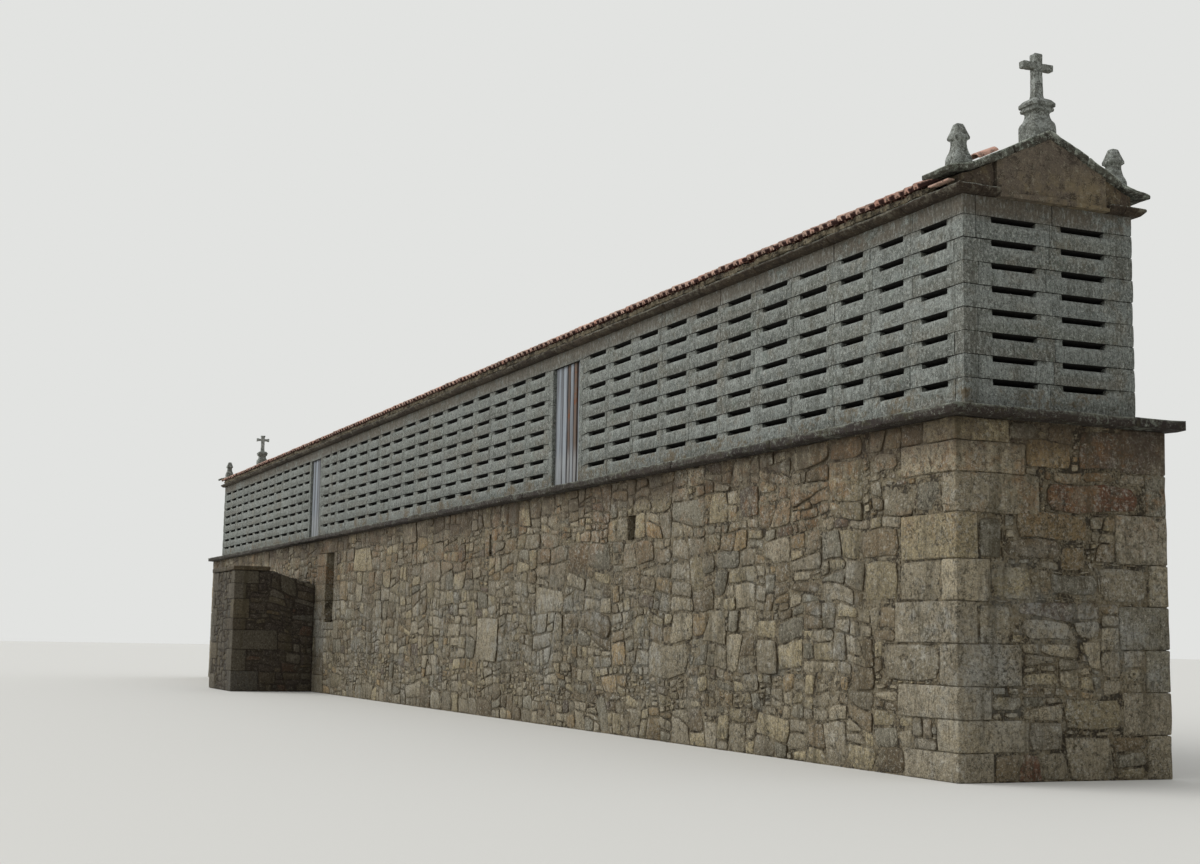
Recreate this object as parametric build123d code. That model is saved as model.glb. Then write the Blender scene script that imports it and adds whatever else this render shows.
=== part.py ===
from build123d import *
import os

# Long raised granary: a slotted granite chamber on a tall rubble base.
# Units are millimetres. X runs along the building and +Z is up. The origin is
# on the underside of the front base wall, halfway along and halfway through it.
# The front faces -Y, and the east gable faces +X.

# Base storey
base_height = 3400.0
base_wall = 600.0            # thickness of the rubble walls
base_out_front = 220.0       # base stands out past the chamber, front and back
base_out_end = 165.0         # the same at the two ends

# Chamber
chamber_length = 37000.0
chamber_width = 2068.0
chamber_wall = 160.0         # thickness of the slotted ashlar
first_course = 280.0         # ledge top to the first slotted joint
course_height = 228.7        # joint to joint
slotted_courses = 8
top_course_height = 180.0    # plain course above the last slots

# Ledge slabs that keep climbing animals out, and the floor between them
ledge_thickness = 110.0
ledge_overhang = 370.0       # past the chamber walls
ledge_bearing = 520.0        # how far the ledge slabs lie on the base walls
ledge_corner_radius = 130.0

# Air slots: each is cut down from a bed joint
slot_height = 62.0
slot_length = 590.0
slot_pitch = 850.0           # aimed at, and then spread evenly over each wall
back_slot_pitch = 1080.0
end_slot_length = 540.0
end_slot_margin = 345.0      # outer corner of the building to the first end slot
corner_stone = 135.0         # plain wall kept at the corners

# Shorter slots, next to the west door and at the east corner
west_short_count = 2
west_short_pitch = 670.0
west_short_length = 450.0
middle_short_count = 2
middle_short_pitch = 650.0
middle_short_length = 400.0
middle_short_margin = 115.0  # plain wall between the west door's jamb and them
east_short_count = 3
east_short_pitch = 760.0
east_short_length = 450.0
east_door_margin = 70.0      # plain wall east of the east door's jamb

# Upper doors
door_frame = 130.0           # width of a stone jamb
door_plank_thickness = 35.0
door_setback = 45.0          # planks behind the wall face
door_batten_height = 110.0
door_batten_thickness = 30.0
door_batten_inset = 320.0    # from the door's foot and head to a batten's middle
plank_gap = 6.0
east_door_from_end = 9580.0  # east end of the chamber to the door's east edge
east_door_width = 1050.0
east_plank_count = 5
west_door_from_end = 10800.0
west_door_width = 900.0
west_plank_count = 4

# Landing in front of the west door
landing_past_door = 800.0    # door's east edge to the landing's east face
landing_width = 2550.0
landing_depth = 1830.0
landing_drop = 610.0         # below the ledge
landing_break = 1000.0       # the slope where the back of its top is lost
landing_loss = 390.0
landing_cap = 100.0          # slab left on its outer edge
landing_cap_overhang = 40.0

# Openings of the base
window_past_landing = 940.0
window_width = 700.0
window_height = 1525.0
lintel_height = 315.0
lintel_bearing = 230.0
slit_from_end = 12800.0      # east end of the chamber to the slit's west edge
slit_width = 90.0
slit_height = 355.0
slit_drop = 455.0            # below the ledge
vent_from_end = 7300.0
vent_width = 230.0
vent_height = 330.0
vent_drop = 485.0

# Cornice
cornice_thickness = 120.0
cornice_overhang = 130.0
cornice_chamfer_out = 50.0
cornice_chamfer_up = 50.0

# Gable: raking slabs that flatten towards the eaves
coping_depth = 470.0
coping_overhang = 70.0       # past the gable wall
coping_thickness = 100.0
coping_past_wall = 211.0     # past the front and back walls
coping_slope = 0.4835
coping_flare = 297.0         # width of the flatter part at the eaves
coping_eave_lift = 144.0     # cornice top to the slab's outer top edge
coping_eave_slope = 0.225
coping_flare_radius = 650.0
tympanum_thickness = 260.0

# Roof
roof_past_wall = 116.0
roof_eave_height = 112.0
roof_slope = 0.442
roof_bedding = 170.0         # width of the foot on the cornice
ridge_width = 230.0
ridge_rise = 45.0

# Corner pinnacles
pinnacle_from_eave = 290.0   # coping's eave to the middle of the pinnacle
pinnacle_base = 200.0
pinnacle_base_block = 60.0
pinnacle_neck = 125.0
pinnacle_neck_height = 225.0
pinnacle_cap = 168.0
pinnacle_cap_height = 300.0
pinnacle_cap_edge = 25.0
pinnacle_height = 430.0

# Crosses on moulded pedestals
pedestal_base = 285.0
pedestal_base_block = 95.0   # above the apex
pedestal_neck = 190.0
pedestal_neck_height = 200.0
pedestal_cap = 280.0
pedestal_step = 225.0
pedestal_cap_height = 250.0
pedestal_height = 355.0
cross_stem = 95.0
cross_thickness = 85.0
cross_height = 500.0
cross_arm_span = 370.0
cross_arm = 65.0
cross_arm_height = 370.0
cross_flare = 60.0           # widening at the tips of the west cross

# Heights worked out from the values above
ledge_top = base_height + ledge_thickness
first_joint = ledge_top + first_course
wall_top = first_joint + (slotted_courses - 1) * course_height
course_top = wall_top + top_course_height
cornice_top = course_top + cornice_thickness
joints = [first_joint + course_height * row for row in range(slotted_courses)]
window_top = base_height - lintel_height
window_bottom = window_top - window_height
landing_top = base_height - landing_drop

# Faces across the building
front = base_out_front - base_wall / 2
back = front + chamber_width
middle = front + chamber_width / 2
base_front = front - base_out_front
base_back = back + base_out_front
coping_reach = chamber_width / 2 + coping_past_wall
knee_reach = coping_reach - coping_flare
knee_height = cornice_top + coping_eave_lift + coping_eave_slope * coping_flare
apex = knee_height + coping_slope * knee_reach
pinnacle_reach = coping_reach - pinnacle_from_eave
roof_eave_reach = chamber_width / 2 + roof_past_wall
ridge = cornice_top + roof_eave_height + roof_slope * roof_eave_reach

# Stations along the building
half_length = chamber_length / 2
base_half = half_length + base_out_end
east_door_west = half_length - east_door_from_end - east_door_width
west_door_west = west_door_from_end - half_length
landing_east = west_door_west + west_door_width + landing_past_door
landing_west = landing_east - landing_width
window_west = landing_east + window_past_landing
window_east = window_west + window_width
coping_middle = half_length + coping_overhang - coping_depth / 2


def block(x0, x1, y0, y1, z0, z1):
    """A plain block between two corners."""
    size = (x1 - x0, y1 - y0, z1 - z0)
    return Pos((x0 + x1) / 2, (y0 + y1) / 2, (z0 + z1) / 2) * Box(*size)


def along_x(points, x0, x1):
    """A straight piece along X whose section is a polygon of (y, z) points."""
    wire = Wire.make_polygon([(x0, y, z) for y, z in points], close=True)
    return extrude(Face(wire), amount=x1 - x0, dir=(1, 0, 0))


def along_y(points, y0, y1, holes=()):
    """A straight piece along Y whose section is a polygon of (x, z) points, with holes."""
    outer = Wire.make_polygon([(x, y0, z) for x, z in points], close=True)
    inner = [Wire.make_polygon([(x, y0, z) for x, z in hole], close=True) for hole in holes]
    return extrude(Face(outer, inner), amount=y1 - y0, dir=(0, 1, 0))


def rectangle(a0, a1, b0, b1):
    """Corners of a rectangle, anticlockwise."""
    return [(a0, b0), (a1, b0), (a1, b1), (a0, b1)]


def west_of(shape):
    """The same piece at the west end."""
    return mirror(shape, about=Plane.YZ)


def spread(x0, x1, pitch, length):
    """West and east edge of each slotted column, spread evenly between x0 and x1."""
    count = max(1, round((x1 - x0) / pitch))
    step = (x1 - x0) / count
    centres = [x0 + step * (i + 0.5) for i in range(count)]
    return [(x - length / 2, x + length / 2) for x in centres]


def slotted_wall(x0, x1, slots, y0, y1):
    """Ashlar panel: slots hang below each bed joint, and the top row is open above."""
    outline = [(x0, ledge_top), (x1, ledge_top), (x1, wall_top)]
    for s0, s1 in sorted(slots, reverse=True):
        notch = wall_top - slot_height
        outline += [(s1, wall_top), (s1, notch), (s0, notch), (s0, wall_top)]
    outline.append((x0, wall_top))
    holes = [rectangle(s0, s1, z - slot_height, z) for s0, s1 in slots for z in joints[:-1]]
    return along_y(outline, y0, y1, holes)


def end_wall():
    """East end wall between the long walls, two columns of slots."""
    y0, y1 = front + chamber_wall, back - chamber_wall
    first = front + end_slot_margin
    second = back - end_slot_margin - end_slot_length
    x0 = half_length - chamber_wall
    outer = Wire.make_polygon([(x0, y, z) for y, z in rectangle(y0, y1, ledge_top, course_top)], close=True)
    inner = []
    for s0 in (first, second):
        for z in joints:
            hole = rectangle(s0, s0 + end_slot_length, z - slot_height, z)
            inner.append(Wire.make_polygon([(x0, y, h) for y, h in hole], close=True))
    return extrude(Face(outer, inner), amount=chamber_wall, dir=(1, 0, 0))


def plank_door(west, width, count):
    """Upright planks held by two battens on the inside."""
    x0, x1 = west + plank_gap, west + width - plank_gap
    plank = (x1 - x0 - plank_gap * (count - 1)) / count
    y0 = front + door_setback
    y1 = y0 + door_plank_thickness
    lefts = [x0 + (plank + plank_gap) * i for i in range(count)]
    planks = [block(x, x + plank, y0, y1, ledge_top, wall_top) for x in lefts]
    half = door_batten_height / 2
    battens = [block(x0, x1, y1, y1 + door_batten_thickness, z - half, z + half)
               for z in (ledge_top + door_batten_inset, wall_top - door_batten_inset)]
    return planks[0].fuse(*planks[1:], *battens)


def door_jambs(west, width):
    """Two upright stones beside a door, full wall thickness."""
    sides = (west - door_frame, west + width)
    posts = [block(x, x + door_frame, front, front + chamber_wall, ledge_top, wall_top) for x in sides]
    return Compound(posts)


def cornice_section(side):
    """Cornice section as (y, z): a slab with a chamfer under its outer edge. side is -1 or 1."""
    face = front if side < 0 else back
    inner = face - side * chamber_wall
    outer = face + side * cornice_overhang
    return [(inner, course_top), (outer - side * cornice_chamfer_out, course_top),
            (outer, course_top + cornice_chamfer_up), (outer, cornice_top), (inner, cornice_top)]


def cornice_end():
    """East cornice slab, full width, chamfered on its three outer sides."""
    x1 = half_length + cornice_overhang
    slab = block(half_length - chamber_wall, x1, front - cornice_overhang, back + cornice_overhang,
                 course_top, cornice_top)
    low = [e for e in slab.edges() if abs(e.center().Z - course_top) < 1]
    outer = [e for e in low if e.center().X > half_length - chamber_wall + 1]
    return chamfer(outer, cornice_chamfer_up, cornice_chamfer_out)


def ledge_end():
    """East ledge slab with rounded outer corners."""
    x1 = half_length + ledge_overhang
    slab = block(base_half - ledge_bearing, x1, front - ledge_overhang, back + ledge_overhang,
                 base_height, ledge_top)
    corners = [e for e in slab.edges().filter_by(Axis.Z) if e.center().X > half_length]
    return fillet(corners, ledge_corner_radius)


def raking_line(drop):
    """Apex, knee and eave of a line drop below the coping's top, as (reach, z)."""
    steep = apex - drop * (1 + coping_slope ** 2) ** 0.5
    eave = cornice_top + coping_eave_lift - drop * (1 + coping_eave_slope ** 2) ** 0.5
    knee = (steep - eave - coping_eave_slope * coping_reach) / (coping_slope - coping_eave_slope)
    return (0.0, steep), (knee, steep - coping_slope * knee), (coping_reach, eave)


def coping_front():
    """Front raking slab of the east gable, bent in a long curve at its knee."""
    x0 = coping_middle - coping_depth / 2
    top, low = raking_line(0.0), raking_line(coping_thickness)
    points = [(x0, middle - u, z) for u, z in (*top, *reversed(low))]
    face = Face(Wire.make_polygon(points, close=True))
    under_radius = coping_flare_radius + coping_thickness
    for corner, radius in ((points[1], coping_flare_radius), (points[4], under_radius)):
        knee = face.vertices().sort_by_distance(corner)[0]
        face = face.fillet_2d(radius, [knee])
    return extrude(face, amount=coping_depth, dir=(1, 0, 0))


def across_gable(shape):
    """The same piece on the back half of a gable."""
    return mirror(shape, about=Plane.XZ.offset(-middle))


def under_line(x, drop, radius, foot):
    """Everything between a raking line and the height foot, both halves, as a face at x."""
    low = raking_line(drop)
    half = [(middle - u, z) for u, z in low]
    other = [(middle + u, z) for u, z in low[1:]]
    ends = [(middle + coping_reach, foot), (middle - coping_reach, foot)]
    points = [(x, y, z) for y, z in (*reversed(half), *other, *ends)]
    face = Face(Wire.make_polygon(points, close=True))
    knees = [v for v in face.vertices() if abs(v.Z - low[1][1]) < 1]
    return face.fillet_2d(radius, knees)


def tympanum():
    """East gable wall under the raking slabs."""
    x0 = half_length - tympanum_thickness
    face = under_line(x0, coping_thickness, coping_flare_radius + coping_thickness, cornice_top)
    gable = extrude(face, amount=tympanum_thickness, dir=(1, 0, 0))
    return gable & block(x0, half_length, front, back, cornice_top, apex)


def roof_front():
    """Front slope: tiles, bedding and battens as one slab with a flat foot on the cornice."""
    x1 = coping_middle - coping_depth / 2
    foot = roof_eave_reach - roof_bedding
    points = [(middle - roof_eave_reach, cornice_top), (middle - foot, cornice_top),
              (middle, cornice_top + roof_slope * foot), (middle, ridge),
              (middle - roof_eave_reach, cornice_top + roof_eave_height)]
    return along_x(points, -x1, x1)


def ridge_cover():
    """Ridge tiles as one rounded saddle on both slopes."""
    x1 = coping_middle - coping_depth / 2
    half = ridge_width / 2
    side = ridge - roof_slope * half
    foot = Polyline((middle - half, side), (middle, ridge), (middle + half, side))
    cover = ThreePointArc((middle + half, side), (middle, ridge + ridge_rise), (middle - half, side))
    section = make_face(foot + cover)
    placed = Plane(origin=(-x1, 0, 0), x_dir=(0, 1, 0), z_dir=(1, 0, 0)) * section
    return extrude(placed, amount=2 * x1, dir=(1, 0, 0))


def moulded(half_edges, x, y, z):
    """Square moulded stone: one side profile carried both ways and intersected."""
    def slab(plane):
        side = Curve() + half_edges
        outline = make_face(side + mirror(side, about=Plane.YZ))
        return extrude(plane * outline, amount=reach, both=True)
    reach = max(e.bounding_box().max.X for e in half_edges) + 1
    return Pos(x, y, z) * (slab(Plane.XZ) & slab(Plane.YZ))


def pinnacle():
    """Corner pinnacle: square block, hollow neck, cap and pyramid, seated on the slab."""
    foot = -pinnacle_base_block
    a, n, c = pinnacle_base / 2, pinnacle_neck / 2, pinnacle_cap / 2
    z1, z2 = pinnacle_base_block, pinnacle_neck_height
    z3, z4 = pinnacle_cap_height, pinnacle_height
    sag = (a * 0.35 + n * 0.65, z1 + (z2 - z1) * 0.45)
    side = [Line((0, foot), (a, foot)), Line((a, foot), (a, z1)),
            ThreePointArc((a, z1), sag, (n, z2)), Line((n, z2), (c, z3 - pinnacle_cap_edge)),
            Line((c, z3 - pinnacle_cap_edge), (c, z3)), Line((c, z3), (0, z4))]
    seat = knee_height - (pinnacle_reach - knee_reach) * coping_eave_slope
    return moulded(side, coping_middle, middle - pinnacle_reach, seat) - saddle()


def saddle():
    """Space taken by the raking slabs and all below them at the east gable."""
    face = under_line(coping_middle - coping_depth, 0.0, coping_flare_radius, cornice_top)
    return extrude(face, amount=2 * coping_depth, dir=(1, 0, 0))


def pedestal():
    """Cross pedestal: block cut over the apex, hollow neck and a cap of two steps."""
    a, n = pedestal_base / 2, pedestal_neck / 2
    c, s = pedestal_cap / 2, pedestal_step / 2
    z1, z2 = pedestal_base_block, pedestal_neck_height
    z3, z4 = pedestal_cap_height, pedestal_height
    sag = (a * 0.35 + n * 0.65, z1 + (z2 - z1) * 0.45)
    side = [Line((0, -pedestal_base), (a, -pedestal_base)), Line((a, -pedestal_base), (a, z1)),
            ThreePointArc((a, z1), sag, (n, z2)), Line((n, z2), (c, z3)),
            Line((c, z3), (c, (z3 + z4) / 2)), Line((c, (z3 + z4) / 2), (s, z4)), Line((s, z4), (0, z4))]
    return moulded(side, coping_middle, middle, apex) - saddle()


def cross(flare):
    """Upright cross on the pedestal. flare widens the tips."""
    foot = apex + pedestal_height
    stem, arm = cross_stem / 2, cross_arm / 2
    z_arm = foot + cross_arm_height
    span, top = cross_arm_span / 2, foot + cross_height
    below, above = z_arm - arm, z_arm + arm
    half = [(stem, foot), (stem, below), (span, below), (span, above), (stem, above), (stem, top)]
    if flare:
        wide = flare / 2
        half = [(stem + wide, foot), (stem, foot + flare), (stem, below), (span - flare, below),
                (span, below - wide), (span, above + wide), (span - flare, above), (stem, above),
                (stem, top - flare), (stem + wide, top)]
    points = [(middle + u, z) for u, z in half] + [(middle - u, z) for u, z in reversed(half)]
    x = coping_middle
    return along_x(points, x - cross_thickness / 2, x + cross_thickness / 2)


def base_front_wall():
    """Front base wall in two lengths, either side of the window."""
    west = rectangle(-base_half, window_west, 0, base_height)
    east = rectangle(window_east, base_half, 0, base_height)
    slit_x, slit_top = half_length - slit_from_end, base_height - slit_drop
    vent_x, vent_top = half_length - vent_from_end, base_height - vent_drop
    holes = [rectangle(slit_x, slit_x + slit_width, slit_top - slit_height, slit_top),
             rectangle(vent_x, vent_x + vent_width, vent_top - vent_height, vent_top)]
    west_wall = along_y(west, base_front, base_front + base_wall)
    east_wall = along_y(east, base_front, base_front + base_wall, holes)
    lintel = lintel_stone()
    return west_wall - lintel, east_wall - lintel


def lintel_stone():
    """Stone over the window, let into the walls at both ends."""
    return block(window_west - lintel_bearing, window_east + lintel_bearing,
                 base_front, base_front + base_wall, window_top, base_height)


def landing_block():
    """Masonry landing with a level outer top and a worn slope behind it."""
    y0 = base_front - landing_depth
    low = landing_top - landing_loss
    cap_bed = landing_top - landing_cap
    y1 = base_front - landing_break
    points = [(y0, 0), (base_front, 0), (base_front, low), (y1, cap_bed), (y0, cap_bed)]
    return along_x(points, landing_west, landing_east)


def landing_cap_slab():
    """Slabs left along the outer edge of the landing."""
    y0 = base_front - landing_depth - landing_cap_overhang
    return block(landing_west - landing_cap_overhang, landing_east + landing_cap_overhang,
                 y0, base_front - landing_break, landing_top - landing_cap, landing_top)


def front_slots(x_west, x_middle, x_east):
    """Slotted columns of the front wall's three sections, each given as (west end, east end)."""
    west_long = x_west[1] - west_short_count * west_short_pitch
    west = spread(x_west[0] + corner_stone, west_long, slot_pitch, slot_length)
    west += spread(west_long, x_west[1], west_short_pitch, west_short_length)

    middle_start = x_middle[0] + middle_short_margin
    middle_long = middle_start + middle_short_count * middle_short_pitch
    centre = spread(middle_start, middle_long, middle_short_pitch, middle_short_length)
    centre += spread(middle_long, x_middle[1] - corner_stone, slot_pitch, slot_length)

    east_end = x_east[1] - corner_stone
    east_long = east_end - east_short_count * east_short_pitch
    east = spread(x_east[0] + east_door_margin, east_long, slot_pitch, slot_length)
    east += spread(east_long, east_end, east_short_pitch, east_short_length)
    return west, centre, east


def parts():
    """Every node and its shape."""
    out = {}
    inner_front, inner_back = base_front + base_wall, base_back - base_wall
    west_wall, east_wall = base_front_wall()
    out["base_front_wall_west"] = west_wall
    out["base_front_wall_east"] = east_wall
    out["base_window_lintel"] = lintel_stone()
    out["base_window_breast"] = block(window_west, window_east, base_front, inner_front, 0, window_bottom)
    out["base_back_wall"] = block(-base_half, base_half, inner_back, base_back, 0, base_height)
    end = block(base_half - base_wall, base_half, inner_front, inner_back, 0, base_height)
    out["base_east_wall"] = end
    out["base_west_wall"] = west_of(end)
    out["landing_block"] = landing_block()
    out["landing_cap_slab"] = landing_cap_slab()

    ledge_x = base_half - ledge_bearing
    strip_in = base_front + ledge_bearing
    strip_back = base_back - ledge_bearing
    out["ledge_front"] = block(-ledge_x, ledge_x, front - ledge_overhang, strip_in, base_height, ledge_top)
    out["ledge_back"] = block(-ledge_x, ledge_x, strip_back, back + ledge_overhang, base_height, ledge_top)
    out["ledge_ends"] = Compound([ledge_end(), west_of(ledge_end())])
    out["chamber_floor"] = block(-ledge_x, ledge_x, strip_in, strip_back, base_height, ledge_top)

    wall_in, wall_back = front + chamber_wall, back - chamber_wall
    sections = ((-half_length, west_door_west - door_frame),
                (west_door_west + west_door_width + door_frame, east_door_west - door_frame),
                (east_door_west + east_door_width + door_frame, half_length))
    for name, (x0, x1), slots in zip(("west", "middle", "east"), sections, front_slots(*sections)):
        out["front_wall_" + name] = slotted_wall(x0, x1, slots, front, wall_in)
    back_slots = spread(0, half_length - corner_stone, back_slot_pitch, slot_length)
    out["back_wall_east"] = slotted_wall(0, half_length, back_slots, wall_back, back)
    out["back_wall_west"] = west_of(out["back_wall_east"])
    out["east_end_wall"] = end_wall()
    out["west_end_wall"] = west_of(end_wall())
    out["front_top_course"] = block(-half_length, half_length, front, wall_in, wall_top, course_top)
    out["back_top_course"] = block(-half_length, half_length, wall_back, back, wall_top, course_top)
    out["east_door"] = plank_door(east_door_west, east_door_width, east_plank_count)
    out["west_door"] = plank_door(west_door_west, west_door_width, west_plank_count)
    out["east_door_jambs"] = door_jambs(east_door_west, east_door_width)
    out["west_door_jambs"] = door_jambs(west_door_west, west_door_width)

    cornice_x = half_length - chamber_wall
    out["cornice_front"] = along_x(cornice_section(-1), -cornice_x, cornice_x)
    out["cornice_back"] = along_x(cornice_section(1), -cornice_x, cornice_x)
    out["cornice_ends"] = Compound([cornice_end(), west_of(cornice_end())])

    out["east_tympanum"] = tympanum()
    out["east_coping_front"] = coping_front()
    out["east_coping_back"] = across_gable(coping_front())
    pair = [pinnacle(), across_gable(pinnacle())]
    out["east_pinnacles"] = Compound(pair)
    out["east_cross_pedestal"] = pedestal()
    for name in ("tympanum", "coping_front", "coping_back", "cross_pedestal"):
        out["west_" + name] = west_of(out["east_" + name])
    out["west_pinnacles"] = Compound([west_of(piece) for piece in pair])
    out["east_cross"] = cross(0)
    out["west_cross"] = west_of(cross(cross_flare))

    out["roof_front"] = roof_front()
    out["roof_back"] = across_gable(roof_front())
    out["roof_ridge"] = ridge_cover()
    return out


os.makedirs("parts", exist_ok=True)
for node, shape in parts().items():
    export_step(shape, "parts/" + node + ".step")
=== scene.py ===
# Looks for the long raised granary: slotted ashlar chamber, rubble base, slab ledge and tiled roof.
# Units are metres, in the frame's own axes: X along the building, the front faces -Y, the near gable faces +X.
import bpy
import math
import numpy as np
from mathutils import Matrix, Vector


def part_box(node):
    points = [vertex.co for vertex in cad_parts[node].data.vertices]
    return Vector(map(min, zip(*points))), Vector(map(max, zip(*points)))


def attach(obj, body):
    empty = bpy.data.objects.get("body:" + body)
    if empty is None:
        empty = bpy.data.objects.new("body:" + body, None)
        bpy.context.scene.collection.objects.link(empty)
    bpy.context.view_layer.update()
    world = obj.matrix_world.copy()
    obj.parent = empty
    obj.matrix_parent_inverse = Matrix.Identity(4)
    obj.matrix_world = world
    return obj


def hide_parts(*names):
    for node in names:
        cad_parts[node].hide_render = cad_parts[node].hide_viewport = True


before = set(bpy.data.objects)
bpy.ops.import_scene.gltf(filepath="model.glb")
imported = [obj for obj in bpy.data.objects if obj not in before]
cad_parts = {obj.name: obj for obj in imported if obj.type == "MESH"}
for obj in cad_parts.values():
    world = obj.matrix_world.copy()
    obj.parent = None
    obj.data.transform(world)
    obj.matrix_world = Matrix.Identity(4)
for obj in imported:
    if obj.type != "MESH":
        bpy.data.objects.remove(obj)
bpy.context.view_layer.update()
print("frame loaded")


# Mesh tools. A shape is its points, a list of face arrays, and three marks a point:
# stone colour, second tint, and closeness to a joint, which also carries painted shade at stone rims and on the
# tiles.

def addPiece(name, shape, material, nodes=(), crease=50.0):
    points, faces, marks = shape
    sizes = np.concatenate([np.full(len(rows), rows.shape[1]) for rows in faces])
    used, corners = np.unique(np.concatenate([rows.ravel() for rows in faces]), return_inverse=True)
    mesh = bpy.data.meshes.new(name)
    mesh.vertices.add(len(used))
    mesh.vertices.foreach_set("co", points[used].astype(np.float32).ravel())
    mesh.loops.add(len(corners))
    mesh.loops.foreach_set("vertex_index", corners.astype(np.int32).ravel())
    mesh.polygons.add(len(sizes))
    mesh.polygons.foreach_set("loop_start", (np.cumsum(sizes) - sizes).astype(np.int32))
    mesh.update(calc_edges=True)
    layer = mesh.attributes.new("marks", "FLOAT_COLOR", "POINT")
    layer.data.foreach_set("color", np.insert(marks[used], 3, 1.0, 1).astype(np.float32).ravel())
    mesh.shade_smooth()
    mesh.set_sharp_from_angle(angle=math.radians(crease))
    mesh.materials.append(material)
    piece = bpy.data.objects.new(name, mesh)
    bpy.context.scene.collection.objects.link(piece)
    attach(piece, "root")
    if nodes:
        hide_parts(*nodes)
    print(name, "has", int((sizes - 2).sum()), "triangles")


def joinParts(parts):
    # One shape out of many.
    points, faces, marks, start = [], [], [], 0
    for somePoints, someFaces, someMarks in parts:
        points.append(somePoints)
        faces += [rows + start for rows in someFaces]
        marks.append(someMarks)
        start += len(somePoints)
    return np.concatenate(points), faces, np.concatenate(marks)


def bundle(*parts):
    # Points out of coordinates, or faces out of corners; each part is a number or an array.
    return np.stack(np.broadcast_arrays(*parts), -1)


def copies(rows, count, size):
    # The faces of count equal shapes, each of them with size points.
    return (rows + np.arange(count)[:, None, None] * size).reshape(-1, rows.shape[1])


def ripple(points, size, seed):
    # Twelve sine waves in random directions added up, wave lengths near size, about -1 to 1.
    draw = np.random.default_rng(seed)
    heading = draw.normal(size=(12, 3))
    heading /= np.linalg.norm(heading, axis=1, keepdims=True)
    heading /= (size * draw.uniform(0.6, 1.8, 12))[:, None]
    waves = np.sin(points.reshape(-1, 3) @ heading.T * 2 * np.pi + draw.uniform(0, 2 * np.pi, 12))
    return waves.sum(-1).reshape(points.shape[:-1]) / 5


def ripples(points, size, seed):
    # One ripple for each axis.
    return bundle(*[ripple(points, size, seed + k) for k in range(3)])


def twoSheets(near, far, nearMarks, farMarks, openCells=None):
    # Two sheets over one grid of points, closed round their rim and round every open cell.
    a = np.arange(near[..., 0].size).reshape(near.shape[:2])
    b = a + a.size
    shut = np.full((a.shape[0] - 1, a.shape[1] - 1), True) if openCells is None else ~openCells
    i, j = np.nonzero(shut)
    quads = [bundle(a[i, j], a[i + 1, j], a[i + 1, j + 1], a[i, j + 1]),
             bundle(b[i, j], b[i, j + 1], b[i + 1, j + 1], b[i + 1, j])]
    shut = np.pad(shut, 1)
    for u, v, first, second in ((0, 1, shut[:-1, 1:-1], shut[1:, 1:-1]),
                                (1, 0, shut[1:-1, 1:], shut[1:-1, :-1])):
        i, j = np.nonzero(first & ~second)
        quads.append(bundle(a[i, j], b[i, j], b[i + u, j + v], a[i + u, j + v]))
        i, j = np.nonzero(second & ~first)
        quads.append(bundle(a[i, j], a[i + u, j + v], b[i + u, j + v], b[i, j]))
    marks = [np.broadcast_to(some, near.shape).reshape(-1, 3) for some in (nearMarks, farMarks)]
    return np.concatenate([near.reshape(-1, 3), far.reshape(-1, 3)]), quads, np.concatenate(marks)


def closedRings(turns, rings, firstPole, lastPole):
    # Quads between rings of points, and the two caps that close them to their poles.
    a = np.arange(turns)
    b = np.roll(a, -1)
    starts = np.arange(rings) * turns
    quads = [bundle(low + a, low + b, high + b, high + a) for low, high in zip(starts[:-1], starts[1:])]
    caps = [bundle(b, a, firstPole), bundle(starts[-1] + a, starts[-1] + b, lastPole)]
    return np.concatenate(quads), np.concatenate(caps)


def blockLattice(cells):
    # Surface lattice of a box: signed core place from -1 to 1, and the push of its rounded edges.
    last = np.array(cells)
    grid = np.stack(np.meshgrid(*[np.arange(n + 1) for n in cells], indexing="ij"), -1).reshape(-1, 3)
    core = np.clip((grid - 1) / (last - 2) * 2 - 1, -1, 1)
    push = (grid == last).astype(float) - (grid == 0)
    push /= np.maximum(np.linalg.norm(push, axis=1, keepdims=True), 1)
    index = np.arange(len(grid)).reshape(last + 1)
    quads = []
    for axis in range(3):
        for place, flip in ((0, axis != 1), (-1, axis == 1)):
            side = np.take(index, place, axis)
            corners = [side[:-1, :-1], side[1:, :-1], side[1:, 1:], side[:-1, 1:]]
            quads.append(bundle(*(corners[::-1] if flip else corners)).reshape(-1, 4))
    return core, push, np.concatenate(quads)


def blockStones(boxes, tints, edge, cells, gaps=0.0, rough=0.0, seed=0):
    # Rounded boxes from low and high on each axis: centre + core * (half - edge) + push * edge, roughened.
    core, push, quads = blockLattice(cells)
    lows, highs = boxes[:, None, 0::2], boxes[:, None, 1::2]
    points = (lows + highs) / 2 + core * ((highs - lows) / 2 - gaps - edge) + push * edge
    points = points + rough * (ripples(points, 0.33, seed) + 0.6 * ripples(points, 0.12, seed + 5))
    marks = np.zeros(points.shape)
    marks[:, :, :2] = np.asarray(tints)[:, None]
    marks[:, :, 2] = np.clip((np.abs(push).sum(1) - 1.2) * 1.2, 0, 0.5)
    return points.reshape(-1, 3), [copies(quads, len(boxes), len(core))], marks.reshape(-1, 3)


def around(centres, halves):
    # Boxes as blockStones takes them.
    return bundle(np.subtract(centres, halves), np.add(centres, halves)).reshape(-1, 6)


def unitBar(cells, edge):
    # A block from -1 to 1 with rounded edges, and its faces.
    core, push, quads = blockLattice(cells)
    return core * (1 - edge) + push * edge, quads


# Colours and shading

def paint(colour):
    # Screen values from 0 to 255 as linear light.
    return tuple(((c / 255 + 0.055) / 1.055) ** 2.4 if c > 10 else c / 3294.6 for c in colour) + (1.0,)


def feed(tree, socket, value):
    if isinstance(value, bpy.types.NodeSocket):
        tree.links.new(value, socket)
    else:
        socket.default_value = value


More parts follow.
